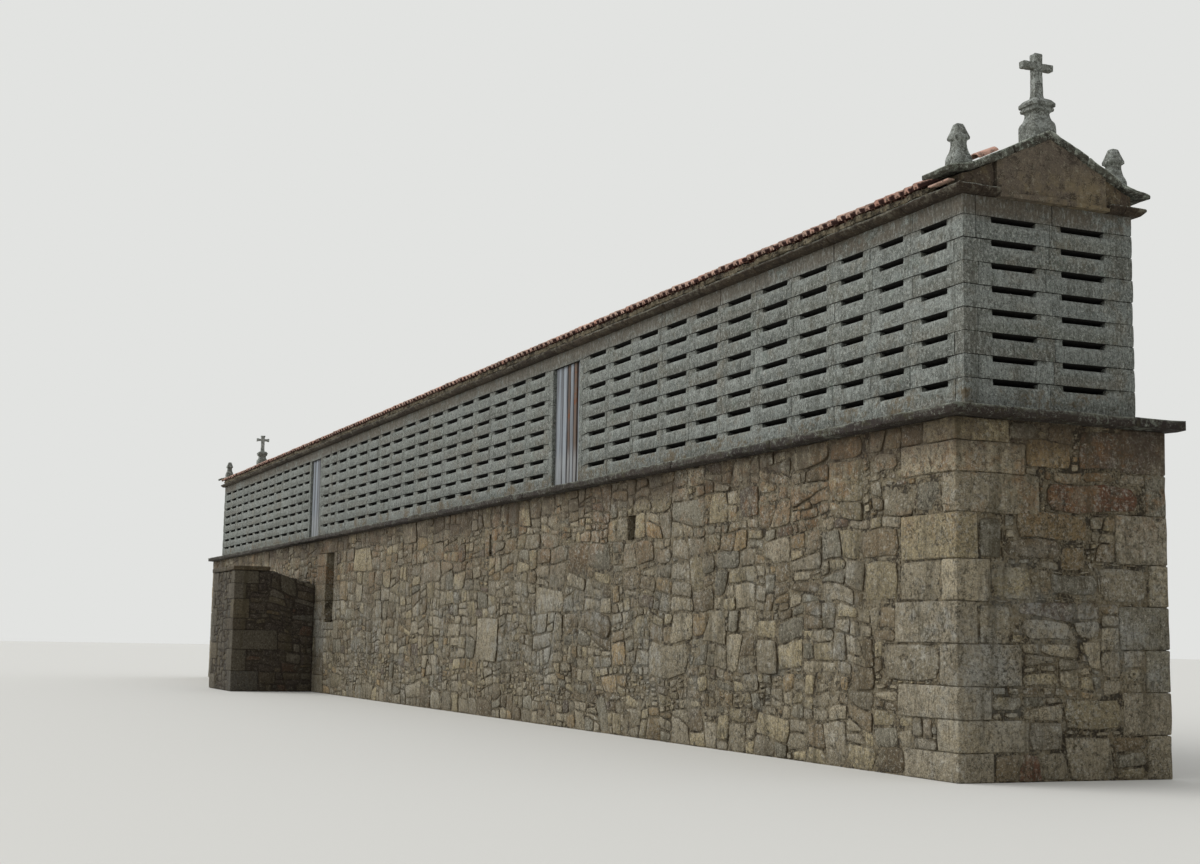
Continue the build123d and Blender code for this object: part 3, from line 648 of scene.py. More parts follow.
def ashlarWall(name, first, last, nodes):
    # Grid of station lines and height rows, pushed in at joints and sills and cut open at slots and doors.
    c, draw = chamber, np.random.default_rng(chamber["seed"])
    slots, piers, cornerPlaces = chamberStations()
    total, courses = ring["turns"][-1], c["courses"] + 1
    joints = np.sort(np.concatenate([piers, cornerPlaces]))
    isCorner = np.isin(joints, cornerPlaces)
    present = (np.arange(len(joints)) + np.arange(courses)[:, None]) % 2 == 0
    present |= (draw.random(present.shape) < c["extraJoints"]) & ~isCorner
    present[-1] = draw.random(len(joints)) < c["topJoints"]
    shifts = draw.uniform(-c["jointShift"], c["jointShift"], present.shape)
    shifts[:, isCorner] = draw.uniform(-c["cornerShift"], c["cornerShift"], (courses, isCorner.sum()))
    tints = draw.random((courses, len(joints) + 1, 2))
    offsets = draw.uniform(0.0, c["stoneDepth"], (courses, len(joints) + 1))

    # Station lines as place, role and number: the joint's own, or 1 and -1 for the ends of a slot
    lines = [(first, "door", 0), (last, "door", 0)]
    for lap in (0, total):
        for a, b in slots:
            lines += [(lap + a, "slot", 1), (lap + b, "slot", -1)]
            lines += [(lap + a + (b - a) * share, "middle", 0) for share in (0.3, 0.65)]
        for side in (-1, 0, 1):
            role = "edge" if side else "joint"
            lines += [(lap + place + side * c["jointHalf"], role, k) for k, place in enumerate(joints)]
            lines += [(lap + turn + side * c["cornerLine"], "corner", 0) for turn in ring["turns"][1:]]
        lines += [(lap + place, "door", 0) for place in doorSpans.ravel()]
    lines = sorted({line for line in lines if first <= line[0] <= last})
    stations, roles, numbers = (np.array(column) for column in zip(*lines))

    # Height rows as height, role and course: bed joint and its edge, middle, the slot's lip, sill and head
    rows = []
    beds = [wallLow.z] + [wallLow.z + c["firstCourse"] + c["courseHeight"] * k for k in range(c["courses"])]
    for k, (low, high) in enumerate(zip(beds, beds[1:] + [courseTop])):
        slotted = k < c["courses"]
        lip = high - c["slotHeight"]
        rows += [(low, "bed", k), (low + c["jointHalf"], "edge", k)]
        rows += [(low + 0.5 * ((lip if slotted else high) - low), "plain", k)]
        if slotted:
            rows += [(lip, "lip", k), (lip + c["sillHeight"], "sill", k), (high - c["jointHalf"], "head", k)]
    rows.append((courseTop, "plain", c["courses"]))
    heights, kinds, course = (np.array(column) for column in zip(*rows))

    along, up = np.meshgrid(stations, heights, indexing="ij")
    lapped = np.mod(stations, total)
    number = ((lapped[:, None] > joints - 1e-6).astype(int) @ present.T)[:, course]
    isJoint = np.isin(roles, ["joint", "edge"])
    jointHere, shift = np.zeros(along.shape, bool), np.zeros(along.shape)
    jointHere[isJoint] = present[:, numbers[isJoint]].T[:, course]
    shift[isJoint] = shifts[:, numbers[isJoint]].T[:, course]
    centreLine, edgeLine = (jointHere & (roles == role)[:, None] for role in ("joint", "edge"))
    bed, edges = kinds == "bed", np.isin(kinds, ["edge", "head"])
    hasSlot = inside(lapped, slots)[:, None] & (course < c["courses"])
    overSlot = inside(lapped, slots)[:, None] & bed & (course > 0)
    depth = offsets[course, number] + c["wave"] * ripple(onRing(ring, along, 0, up), 0.5, 3)
    depth = np.where(edgeLine | (edges & ~hasSlot), depth + c["edgeDepth"], depth)
    depth = np.where(centreLine | bed, c["jointDepth"], depth)
    depth = np.where(overSlot, c["headDepth"], depth)
    depth = np.where(hasSlot & np.isin(kinds, ["sill", "head"]), c["sillDepth"], depth)
    # Ends of a slot close in towards its foot
    close = c["lipClose"] * (kinds == "lip") + c["sillClose"] * (kinds == "sill")
    shift += np.where(roles == "slot", numbers, 0)[:, None] * close
    # Bed joints and slot heads wander, and lie a little above the course line except at the doors
    lift = c["bedWander"] * ripple(bundle(along, course * 3.1, 0.0), 1.4, 9)
    isBed = (bed | edges) & (heights > heights[0] + 0.01) & (heights < courseTop)
    lift += c["headLift"] * (~inside(lapped, doorSpans)[:, None] & isBed)
    lift[:, (heights == heights[0]) | (heights == courseTop)] = 0

    cells = lapped[:-1] + np.diff(stations) / 2
    openCells = inside(cells, slots)[:, None] & np.isin(kinds[:-1], ["sill", "head"])
    openCells |= inside(cells, doorSpans)[:, None] & (heights[:-1] < wallTop - 1e-4)
    topCourse = course == c["courses"]
    marks = np.zeros((*along.shape, 3))
    marks[..., :2] = tints[course, number]
    marks[..., 2] = np.select([overSlot, bed, centreLine & ~topCourse, centreLine], c["shadows"])
    marks[hasSlot & np.isin(kinds, ["sill", "lip"]), :2] = (0.5, 1.0)
    near, far = onRing(ring, along + shift, depth, up + lift), onRing(ring, along, c["thickness"], up)
    shape = twoSheets(near, far, marks, (0.5, 0.5, 1.0), openCells)
    addPiece(name, shape, ashlarStone, nodes, 35.0)


ring = makeRing(-chamberEnd, chamberEnd, wallLow.y, chamberBack, chamber["thickness"], chamber["cornerReach"])
westDoor, eastDoor = doorSpans.mean(1)
backMiddle = ring["turns"][2] + chamberEnd
ashlarWall("ashlarEast", eastDoor, backMiddle, ("front_wall_east", "east_end_wall", "back_wall_east"))
ashlarWall("ashlarMiddle", westDoor, eastDoor, ("front_wall_middle", "front_top_course"))
ashlarWall("ashlarWest", backMiddle, ring["turns"][-1] + westDoor,
           ("front_wall_west", "west_end_wall", "back_wall_west", "back_top_course"))
print("chamber walls made")


# Rubble: a skin of fitted stones over an earth backing, with coursed quoins at the corners

masonry = {
    "recess": 0.022, "lumps": ((0.6, 0.008), (0.17, 0.008)), "lumpBase": -0.001, "step": 0.085,
    "backStep": 0.15, "coreThickness": 0.6, "coreReach": 0.75,
    "gap": 0.002, "gapSpread": 0.005, "corner": (4.5, 18.0), "outline": 0.022,
    "rings": ((14, (0.0, 0.002, 0.016), (0.05, 0.011, 0.001), (1.0, 0.42, 0.1)),
              (8, (0.0, 0.0112), (0.035, 0.003), (1.0, 0.1))),  # points round, rims, depths, closeness marks
    "blockArea": 1.6, "blockWide": 1.6, "blockCut": (0.35, 0.65), "bedTilt": 0.09, "sideTilt": 0.2,
    "cut": (0.32, 0.68), "thinShare": (0.14, 0.24), "thinChance": 0.07,
    "stoneArea": 0.100, "areaSpread": 0.8, "leastArea": 0.0065, "longest": 3.6, "tallest": 1.15,
    "upright": (1.3, 2.6), "smallBelow": 0.02, "lostBelow": 0.007, "lost": 0.22, "near": 0.004,
    "warps": ((0.6, 0.022, 0.25, 71), (1.7, 0.055, 0.8, 73)),  # size, reach, fade, seed
    "lift": 0.85, "liftSpread": 0.08, "depthSpread": 0.010, "lean": 0.024, "mostTilt": 0.012, "slant": 0.03,
    "quoinCourse": (0.33, 0.45), "quoinLong": (0.62, 0.95), "quoinShort": (0.22, 0.4), "quoinProud": 0.006,
    "quoinClasses": (0, 1, 4, 5), "quoinTints": (0.35, 0.95), "courseSlack": 0.05, "leastCourse": 0.2,
    "quoinStone": {"edge": 0.016, "cells": (6, 6, 5), "gaps": 0.003, "rough": 0.0045},
    "ringJitter": (-0.002, 0.003), "poleJitter": (-0.003, 0.004), "mostProud": 0.004, "mostInward": 0.45,
    "leastCut": 0.0004,
}
baseX, baseY1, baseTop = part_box("base_back_wall")[1]
baseY0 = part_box("base_front_wall_west")[0].y
baseSides = {"x0": -baseX, "x1": baseX, "y0": baseY0, "y1": baseY1, "top": baseTop}
# Corner stones seen in the photograph, foot first: top, length along front and end, colour class
nearCorner = (
    (0.27, 0.90, 0.40, 5), (0.57, 0.35, 0.80, 0), (0.88, 1.00, 0.38, 5), (1.275, 0.30, 0.73, 5),
    (1.67, 1.05, 0.235, 5), (2.065, 0.26, 0.39, 0), (2.50, 0.94, 0.25, 1), (2.88, 0.24, 0.96, 0),
    (3.18, 0.93, 0.80, 0), (3.40, 0.55, 0.62, 1))
rearCorner = (
    (0.42, 0.70, 0.30, 0), (0.83, 0.40, 0.60, 5), (1.24, 0.80, 0.30, 4), (1.66, 0.40, 0.61, 4),
    (2.07, 0.75, 0.24, 0), (2.55, 0.40, 0.64, 5), (2.96, 0.75, 0.26, 4), (3.40, 0.40, 0.55, 6))
# Stones given one by one: along the side from its left corner, height, colour class
placedEast = (
    (0.80, 1.37, 2.96, 3.22, 2), (1.46, 2.20, 2.97, 3.37, 6), (1.03, 2.19, 2.56, 2.84, 7),
    (0.67, 1.57, 2.29, 2.54, 2), (0.54, 1.20, 2.10, 2.28, 3), (1.20, 1.51, 2.00, 2.24, 2),
    (0.26, 0.51, 2.08, 2.49, 4), (0.40, 0.885, 1.69, 2.04, 1), (1.07, 1.61, 1.74, 1.97, 4),
    (1.63, 2.26, 1.68, 2.04, 0), (0.25, 0.62, 1.285, 1.665, 0), (0.68, 1.34, 1.51, 1.69, 6))
placedFront = (
    (32.97, 33.50, 2.69, 3.04, 6), (33.62, 34.17, 2.15, 2.44, 5), (32.39, 33.03, 2.15, 2.35, 4),
    (35.82, 36.34, 2.95, 3.17, 0), (36.07, 36.60, 2.52, 2.81, 0), (35.25, 35.70, 2.52, 2.70, 1),
    (35.64, 36.35, 2.07, 2.39, 3), (30.60, 31.75, 0.80, 1.25, 0), (33.47, 33.95, 1.32, 1.53, 1),
    (35.43, 35.90, 0.81, 1.04, 3), (36.64, 37.08, 2.52, 2.84, 4), (36.05, 37.03, 0.92, 1.26, 0))


def onSide(box, side, along, depth, height):
    # A wall face seen from outside: along runs to the right, depth runs into the wall.
    places = {"front": (box["x0"] + along, box["y0"] + depth), "back": (box["x1"] - along, box["y1"] - depth),
              "east": (box["x1"] - depth, box["y0"] + along), "west": (box["x0"] + depth, box["y1"] - along)}
    return bundle(*places[side], height)


def sideWidth(box, side):
    return box["x1"] - box["x0"] if side in ("front", "back") else box["y1"] - box["y0"]


def cutPolygon(corners, point, heading):
    # Both parts of a convex polygon cut by a line.
    sides = [heading[0] * (y - point[1]) - heading[1] * (x - point[0]) for x, y in corners]
    left, right = [], []
    for k, (here, side) in enumerate(zip(corners, sides)):
        there, other = corners[k + 1 - len(corners)], sides[k + 1 - len(corners)]
        if side >= 0:
            left.append(here)
        if side <= 0:
            right.append(here)
        if side * other < 0:
            share = side / (side - other)
            crossing = (here[0] + (there[0] - here[0]) * share, here[1] + (there[1] - here[1]) * share)
            left.append(crossing)
            right.append(crossing)
    return left, right


def extent(corners):
    xs, ys = zip(*corners)
    return min(xs), max(xs), min(ys), max(ys)


def polygonArea(corners):
    return abs(sum(corners[k - 1][0] * y - x * corners[k - 1][1] for k, (x, y) in enumerate(corners))) / 2


def cutAcross(cell, share, upright, draw):
    # Cut at a share of the way, upright or along the bed, with a chance lean.
    x0, x1, y0, y1 = extent(cell)
    if upright:
        cut = ((x0 + (x1 - x0) * share, (y0 + y1) / 2), (draw.normal(0, masonry["sideTilt"]), 1))
    else:
        cut = (((x0 + x1) / 2, y0 + (y1 - y0) * share), (1, draw.normal(0, masonry["bedTilt"])))
    return [part for part in cutPolygon(cell, *cut) if len(part) > 2 and polygonArea(part) > masonry["leastCut"]]


def freeCells(width, height, taken, draw):
    # The whole face cut into lifts and large blocks, then cut along the edges of the places that are taken.
    m, near = masonry, masonry["near"]
    lifts = np.linspace(0, height, round(height / m["lift"]) + 1)
    lifts[1:-1] += draw.uniform(-m["liftSpread"], m["liftSpread"], len(lifts) - 2)
    large = [[(0.0, low), (width, low), (width, high), (0.0, high)] for low, high in zip(lifts[:-1], lifts[1:])]
    cells, free = [], []
    while large:
        cell = large.pop()
        x0, x1, y0, y1 = extent(cell)
        if polygonArea(cell) < m["blockArea"]:
            cells.append(cell)
        else:
            large += cutAcross(cell, draw.uniform(*m["blockCut"]), x1 - x0 > m["blockWide"] * (y1 - y0), draw)
    while cells:
        cell = cells.pop()
        x0, x1, y0, y1 = extent(cell)
        hits = [(a, b, low, high) for a, b, low, high in taken
                if a < x1 - near and b > x0 + near and low < y1 - near and high > y0 + near]
        if not hits:
            free.append(cell)
            continue
        a, b, low, high = hits[0]
        cuts = [((x, 0), (0, 1)) for x in (a, b) if x0 + near < x < x1 - near]
        cuts += [((0, y), (1, 0)) for y in (low, high) if y0 + near < y < y1 - near]
        if cuts:
            cells += cutPolygon(cell, *cuts[int(draw.integers(len(cuts)))])
    return free


def splitStones(cells, fineness, draw):
    # Each cell is cut across its longer way, again and again, down to an area drawn for it.
    stones, m = [], masonry
    while cells:
        cell = cells.pop()
        x0, x1, y0, y1 = extent(cell)
        wide, tall, area = x1 - x0, y1 - y0, polygonArea(cell)
        fine = fineness((x0 + x1) / 2, (y0 + y1) / 2) if callable(fineness) else fineness
        limit = m["stoneArea"] * fine * math.exp(draw.normal(0, m["areaSpread"]))
        compact = wide < m["longest"] * tall and tall < m["tallest"] * wide
        if area < m["leastArea"] or (area < limit and compact):
            stones.append(cell)
            continue
        share = draw.uniform(*m["cut"])
        if draw.random() < m["thinChance"]:
            share = draw.uniform(*m["thinShare"])
            share = share if draw.random() < 0.5 else 1 - share
        cells += cutAcross(cell, share, wide > tall * draw.uniform(*m["upright"]), draw)
    return [cell for cell in stones if polygonArea(cell) > m["lostBelow"] or draw.random() > m["lost"]]


def warpField(u, v, width, height, taken):
    # Wandering joints: a small and a broad wave shift each place, less so near what is taken and the rims.
    spots, near = bundle(u, v, 0.0), np.minimum(np.minimum(u, width - u), np.minimum(v, height - v))
    for a, b, low, high in taken:
        aside, above = np.maximum(a - u, u - b), np.maximum(low - v, v - high)
        near = np.minimum(near, np.hypot(np.maximum(0, aside), np.maximum(0, above)))
    for size, reach, fadeOver, seed in masonry["warps"]:
        fade = np.clip(near / fadeOver, 0, 1) * reach
        u, v = u + ripple(spots, size, seed) * fade, v + ripple(spots, size, seed + 1) * fade
    return u, v


def stoneSkin(box, side, cells, tints, taken, draw, heightOf=None):
    # Each stone is a flat dome over its cell: the reach along a heading is the soft least of the
    # distances to the cell's edges. Rings run from the buried root to the face, closed by two poles.
    m, most = masonry, max(len(cell) for cell in cells)
    allAngles = np.zeros((len(cells), m["rings"][0][0]))
    normals, gaps = np.zeros((len(cells), most, 2)), np.full((len(cells), most), 50.0)
    centres, halves = np.zeros((2, len(cells), 2))
    small = np.array([polygonArea(cell) < m["smallBelow"] for cell in cells])
    for k, cell in enumerate(cells):
        corners, turns = np.array(cell), m["rings"][int(small[k])][0]
        centres[k], halves[k] = corners.mean(0), np.ptp(corners, axis=0) / 2
        edge = np.roll(corners, -1, 0) - corners
        normal = bundle(edge[:, 1], -edge[:, 0]) / np.maximum(np.hypot(*edge.T), 1e-6)[:, None]
        reach = ((corners - centres[k]) * normal).sum(1)
        normals[k, :len(cell)] = normal * np.sign(reach)[:, None]
        gap = m["gap"] + draw.exponential(m["gapSpread"], len(cell))
        gaps[k, :len(cell)] = np.maximum(np.abs(reach) - gap, np.abs(reach) * 0.5)
        turned = np.unwrap(np.arctan2(*((corners - centres[k]) / halves[k]).T[::-1]))
        marksAt = np.append(np.round(np.arange(len(cell)) * turns / len(cell)), turns)
        allAngles[k, :turns] = np.interp(np.arange(turns), marksAt, np.append(turned, turned[0] + 2 * np.pi))
    softness = draw.uniform(*m["corner"], len(cells))
    parts = []
    for chosen, (turns, rims, depths, shadows) in zip((~small, small), m["rings"]):
        count, centre, gap = int(chosen.sum()), centres[chosen][:, None], gaps[chosen][:, :, None]
        if not count:
            continue
        angles = allAngles[chosen, :turns]
        heading = bundle(np.cos(angles), np.sin(angles)) * halves[chosen][:, None]
        closeness = np.clip(np.einsum("nek,ntk->net", normals[chosen], heading) / gap, 1e-4, None)
        power = softness[chosen][:, None, None]
        reach = (closeness ** power).sum(1) ** (-1 / power[:, 0])
        reach *= 1 - np.abs(draw.normal(0, m["outline"], reach.shape))
        inward = 1 - np.minimum(rims / gap.min(1), m["mostInward"])
        away = (inward[:, :, None] * reach[:, None])[..., None] * heading[:, None]
        lean = draw.normal(0, m["lean"], (2, count, 1, 1))
        tilt = np.clip(lean[0] * away[..., 0] + lean[1] * away[..., 1], -m["mostTilt"], m["mostTilt"])
        depth = np.array(depths)[:, None] + draw.uniform(0.0, m["depthSpread"], (count, 1, 1)) + tilt
        depth += draw.uniform(*m["ringJitter"], depth.shape)
        depth[:, 0] = depths[0]
        poleDepth = depth[:, -1].mean(1) - draw.uniform(*m["poleJitter"], count)
        # The points of the rings, then the poles of face and root
        places = np.concatenate([(centre[:, None] + away).reshape(count, -1, 2), centre, centre], 1)
        depth = np.concatenate([depth.reshape(count, -1), bundle(poleDepth, depths[0])], 1)
        u, v = warpField(places[..., 0], places[..., 1], sideWidth(box, side), box["top"], taken)
        if heightOf:
            v = v * heightOf(u) / box["top"]
        face, size = len(rims) * turns, len(rims) * turns + 2
        marks = bundle(*tints[chosen].T[:, :, None], np.append(np.repeat(shadows, turns), (0.0, shadows[0])))
        faces = [copies(rows, count, size) for rows in closedRings(turns, len(rims), face + 1, face)]
        points = onSide(box, side, u, np.maximum(depth, -m["mostProud"]), v)
        parts.append((points.reshape(-1, 3), faces, marks.reshape(-1, 3)))
    return joinParts(parts)


# Shares of the colour classes: tan, yellow tan, ochre, brown, grey, warm grey, purple brown, rust
commonShares = (0.29, 0.17, 0.055, 0.17, 0.11, 0.184, 0.02, 0.001)
# The landing's east face takes mostly the dark classes: partly damp stone, partly painted shade.
dampShadedShares = (0.08, 0.04, 0.03, 0.25, 0.05, 0.05, 0.47, 0.03)


def rubbleTints(cells, draw, shares=commonShares):
    return bundle(draw.choice(8, len(cells), p=shares) / 7, draw.random(len(cells)))


def rubbleSide(box, side, taken, placed, seed, fineness, heightOf=None, shares=commonShares):
    draw = np.random.default_rng(seed)
    free = freeCells(sideWidth(box, side), box["top"], taken + [stone[:4] for stone in placed], draw)
    cells = splitStones(free, fineness, draw)
    tints = list(rubbleTints(cells, draw, shares))
    for a, b, low, high, tint in placed:
        slant = draw.uniform(-masonry["slant"], masonry["slant"], 4)
        cells.append([(a, low + slant[0]), (b, low + slant[1]), (b, high + slant[2]), (a, high + slant[3])])
        tints.append((tint / 7, draw.random()))
    return stoneSkin(box, side, cells, np.array(tints), taken, draw, heightOf)


def cornerColumn(box, signX, signY, rows, quoins, footprints):
    # A column of corner stones. rows holds tops and lengths, foot first.
    x, y = box["x1" if signX > 0 else "x0"], box["y1" if signY > 0 else "y0"]
    faces = "back" if signY > 0 else "front", "east" if signX > 0 else "west"
    low = 0.0
    for high, alongX, alongY, tint in rows:
        quoins.append((*sorted((x, x - signX * alongX)), *sorted((y, y - signY * alongY)), low, high, tint))
        for face, along, atStart in zip(faces, (alongX, alongY), (signX == signY, signX != signY)):
            width = sideWidth(box, face)
            span = (-1.0, along) if atStart else (width - along, width + 1.0)
            footprints[face].append((*span, low, high))
        low = high


def nextTop(low, height, course, draw):
    # Top of the next course, or the whole height where little would be left.
    high = min(height, low + draw.uniform(*course))
    return height if height - high < masonry["leastCourse"] else high


def drawnRows(height, turn, draw):
    # Corner courses, long on one face where they are short on the other.
    rows, low = [], 0.0
    while low < height - masonry["courseSlack"]:
        high = nextTop(low, height, masonry["quoinCourse"], draw)
        lengths = draw.uniform(*masonry["quoinLong"]), draw.uniform(*masonry["quoinShort"])
        rows.append((high, *(lengths if turn else lengths[::-1]), draw.choice(masonry["quoinClasses"])))
        low, turn = high, not turn
    return rows


def layQuoins(name, quoins, box, seed, material):
    draw, quoins = np.random.default_rng(seed), np.array(quoins)
    tints = [(tint / 7, draw.uniform(*masonry["quoinTints"])) for tint in quoins[:, 6]]
    points, *rest = blockStones(quoins[:, :6], tints, **masonry["quoinStone"], seed=seed)
    lows, highs = np.array([[box[axis + end] for axis in "xy"] for end in "01"])
    points[:, :2] = np.clip(points[:, :2], lows - masonry["quoinProud"], highs + masonry["quoinProud"])
    addPiece(name, (points, *rest), material)


# Openings and dressed stones of the base front, as along-wall places and heights

breastLow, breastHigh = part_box("base_window_breast")
lintelLow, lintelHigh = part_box("base_window_lintel")
openings = {
    "window": (breastLow.x, breastHigh.x, breastHigh.z, lintelLow.z),
    "slit": (chamberEnd - 12.8, chamberEnd - 12.71, 2.59, 2.945),
    "vent": (chamberEnd - 7.3, chamberEnd - 7.07, 2.585, 2.915),
    "lostStone": (10.72, 11.08, 2.35, 2.425),
}
dressing = {
    "pierWidth": 0.85, "course": (0.36, 0.46), "jambWidth": (0.26, 0.5), "sillHeight": 0.16, "sillPast": 0.12,
    # The brown classes and low tints darken the window stones: partly their own colour, partly painted shade
    # round the opening.
    "depth": (0.003, 0.597), "classes": (0, 3, 3), "tints": (0.0, 0.4), "seed": 8,
    "stone": {"edge": 0.01, "cells": (6, 4, 5), "gaps": (-0.001, 0, 0.004), "rough": 0.003, "seed": 41},
}


def dressedWindow(footprints):
    # Lintel, sill, a coursed pier west of the window and toothed jamb stones east of it.
    d, draw = dressing, np.random.default_rng(dressing["seed"])
    west, east, sillTop, head = openings["window"]
    sillFoot = sillTop - d["sillHeight"]
    stones = [(lintelLow.x, lintelHigh.x, lintelLow.z, lintelHigh.z, 3),
              (west - d["sillPast"], east + d["sillPast"], sillFoot, sillTop, 4)]
    for atWest in (True, False):
        low, turn = 0.0, 0
        while low < head - masonry["courseSlack"]:
            high = nextTop(low, head, d["course"], draw)
            beside = d["sillPast"] if low < sillTop and high > sillFoot else 0
            if atWest:
                place = west - d["pierWidth"], west - beside
            else:
                place = east + beside, east + d["jambWidth"][turn]
            if atWest or high > sillFoot:
                stones.append((*place, low, high, draw.choice(d["classes"])))
            low, turn = high, 1 - turn
    first, last, low, high, classes = np.array(stones).T
    footprints["front"] += [(a + baseX, b + baseX, foot, top) for a, b, foot, top, *_ in stones]
    tints = [(tint / 7, draw.uniform(*d["tints"])) for tint in classes]
    boxes = bundle(first + baseX, last + baseX, *d["depth"], low, high)
    points, *rest = blockStones(boxes, tints, **d["stone"])
    shape = onSide(baseSides, "front", *points.T), *rest
    addPiece("windowStones", shape, rubbleStone, ("base_window_lintel",))


def gridPlaces(fixed, step):
    # The fixed places, with even steps between each two of them.
    fixed = sorted(fixed)
    parts = [np.linspace(a, b, max(1, round((b - a) / step)) + 1)[:-1] for a, b in zip(fixed[:-1], fixed[1:])]
    return np.append(np.concatenate(parts), fixed[-1])


def baseCore(name, first, last, step, nodes):
    # The walls behind the stones: two sheets on the ring, the outer one lumpy, with the openings cut through.
    m, recess = masonry, masonry["recess"]
    core = makeRing(-baseX + recess, baseX - recess, baseY0 + recess, baseY1 - recess,
                    m["coreThickness"] - recess, m["coreReach"])
    holes = [openings[k] for k in ("window", "slit", "vent")] if first < 0 else []
    fixed = {first, last} | {turn for turn in core["turns"] if first < turn < last}
    stations = gridPlaces(fixed | {edge + baseX - recess for hole in holes for edge in hole[:2]}, step)
    rows = gridPlaces({0.0, baseTop} | {edge for hole in holes for edge in hole[2:]}, step)
    along, up = np.meshgrid(stations, rows, indexing="ij")
    outer = onRing(core, along, 0, up)
    lumps = sum(height * ripple(outer, size, 80 + k) for k, (size, height) in enumerate(m["lumps"]))
    near = onRing(core, along, np.maximum(lumps + m["lumpBase"], m["mostProud"] - recess), up)
    middleX, middleZ = (stations[:-1] + stations[1:]) / 2 - baseX + recess, (rows[:-1] + rows[1:]) / 2
    openCells = np.zeros((len(middleX), len(middleZ)), bool)
    for a, b, low, high in holes:
        openCells |= ((middleX > a) & (middleX < b))[:, None] & (middleZ > low) & (middleZ < high)
    shape = twoSheets(near, onRing(core, along, core["thickness"], up), (0.5, 0.5, 0), (0.5, 0.5, 0), openCells)
    addPiece(name, shape, earthJoint, nodes, 40.0)


def frontFineness(u, v):
    # Small stones in rows low down and in patches, larger ones elsewhere.
    patch = 0.5 + 0.5 * math.sin(u * 0.9 + 2.0) * math.sin(v * 1.7 + u * 0.4)
    return (0.35 if 0.35 < v < 0.95 else 1.0) * (0.5 + 1.0 * patch) * (1.7 if u > 34.5 else 1.0)


def makeBase():
    footprints = {"front": [], "back": [], "east": [], "west": []}
    draw, quoins = np.random.default_rng(5), []
    cornerColumn(baseSides, 1, -1, nearCorner, quoins, footprints)
    cornerColumn(baseSides, 1, 1, rearCorner, quoins, footprints)
    cornerColumn(baseSides, -1, -1, drawnRows(baseTop, True, draw), quoins, footprints)
    cornerColumn(baseSides, -1, 1, drawnRows(baseTop, False, draw), quoins, footprints)
    layQuoins("quoinStones", quoins, baseSides, 21, rubbleStone)
    dressedWindow(footprints)
    footprints["front"] += [(a + baseX, b + baseX, low, high) for a, b, low, high in openings.values()]
    halfEnd, length = (baseY1 - baseY0) / 2 - masonry["recess"], 2 * (baseX - masonry["recess"])
    nodes = ("base_front_wall_west", "base_front_wall_east", "base_window_breast", "base_east_wall",
             "base_west_wall")
    baseCore("frontBaseCore", -halfEnd, length + halfEnd, masonry["step"], nodes)
    baseCore("backBaseCore", length + halfEnd, 2 * length + 3 * halfEnd, masonry["backStep"], ("base_back_wall",))
    sides = (("front", placedFront, 31, frontFineness), ("east", placedEast, 32, 1.3), ("back", (), 33, 1.4),
             ("west", (), 34, 1.0))
    for side, placed, seed, fineness in sides:
        shape = rubbleSide(baseSides, side, footprints[side], placed, seed, fineness)
        addPiece(side + "Rubble", shape, rubbleStone)


makeBase()
print("rubble base made")


# Landing under the west door: the same masonry on three sides, edge slabs and a worn earth top

blockLow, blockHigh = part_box("landing_block")
slabLow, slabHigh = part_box("landing_cap_slab")
landing = {
    "x0": blockLow.x, "x1": blockHigh.x, "y0": blockLow.y, "y1": blockHigh.y, "top": blockHigh.z,
    "edgeReach": slabHigh.y - blockLow.y, "backTop": 2.40, "fineness": 0.45, "seed": 44,
    "eastRows": ((0.45, 0.40, 0.62, 4), (0.93, 0.60, 0.33, 0), (1.36, 0.34, 1.02, 0), (1.62, 0.7, 0.30, 3),
                 (2.05, 0.35, 0.36, 1), (2.40, 0.62, 0.28, 5), (2.69, 0.35, 0.55, 0)),
    "coreCells": (22, 18), "coreLumps": ((0.035, 0.5, 4), (0.02, 0.17, 5)), "coreMarks": (0.86, 0.2, 0.35),
    "slabEnds": (slabLow.x, -7.72, -6.85, slabHigh.x), "slabHalves": (0.41, 0.33, 0.42),
    "slabTints": ((0.5, 0.6), (0.1, 0.4), (0.3, 0.7)), "slabWear": (0.02, 0.02, 0.008),
    "slabStone": {"edge": 0.018, "cells": (9, 8, 4), "gaps": (0.004, 0, 0)},
    "looseStones": 46, "looseHalves": ((0.07, 0.2), (0.06, 0.15), (0.03, 0.05)),
    "looseStone": {"edge": 0.02, "cells": (4, 4, 3), "rough": 0.02, "seed": 63},
}


def landingTop(y):
    # Level to the inner edge of the slabs, then down to the wall.
    edge = landing["y0"] + landing["edgeReach"]
    share = np.clip((y - edge) / (landing["y1"] - edge), 0, 1)
    return landing["top"] + (landing["backTop"] - landing["top"]) * share


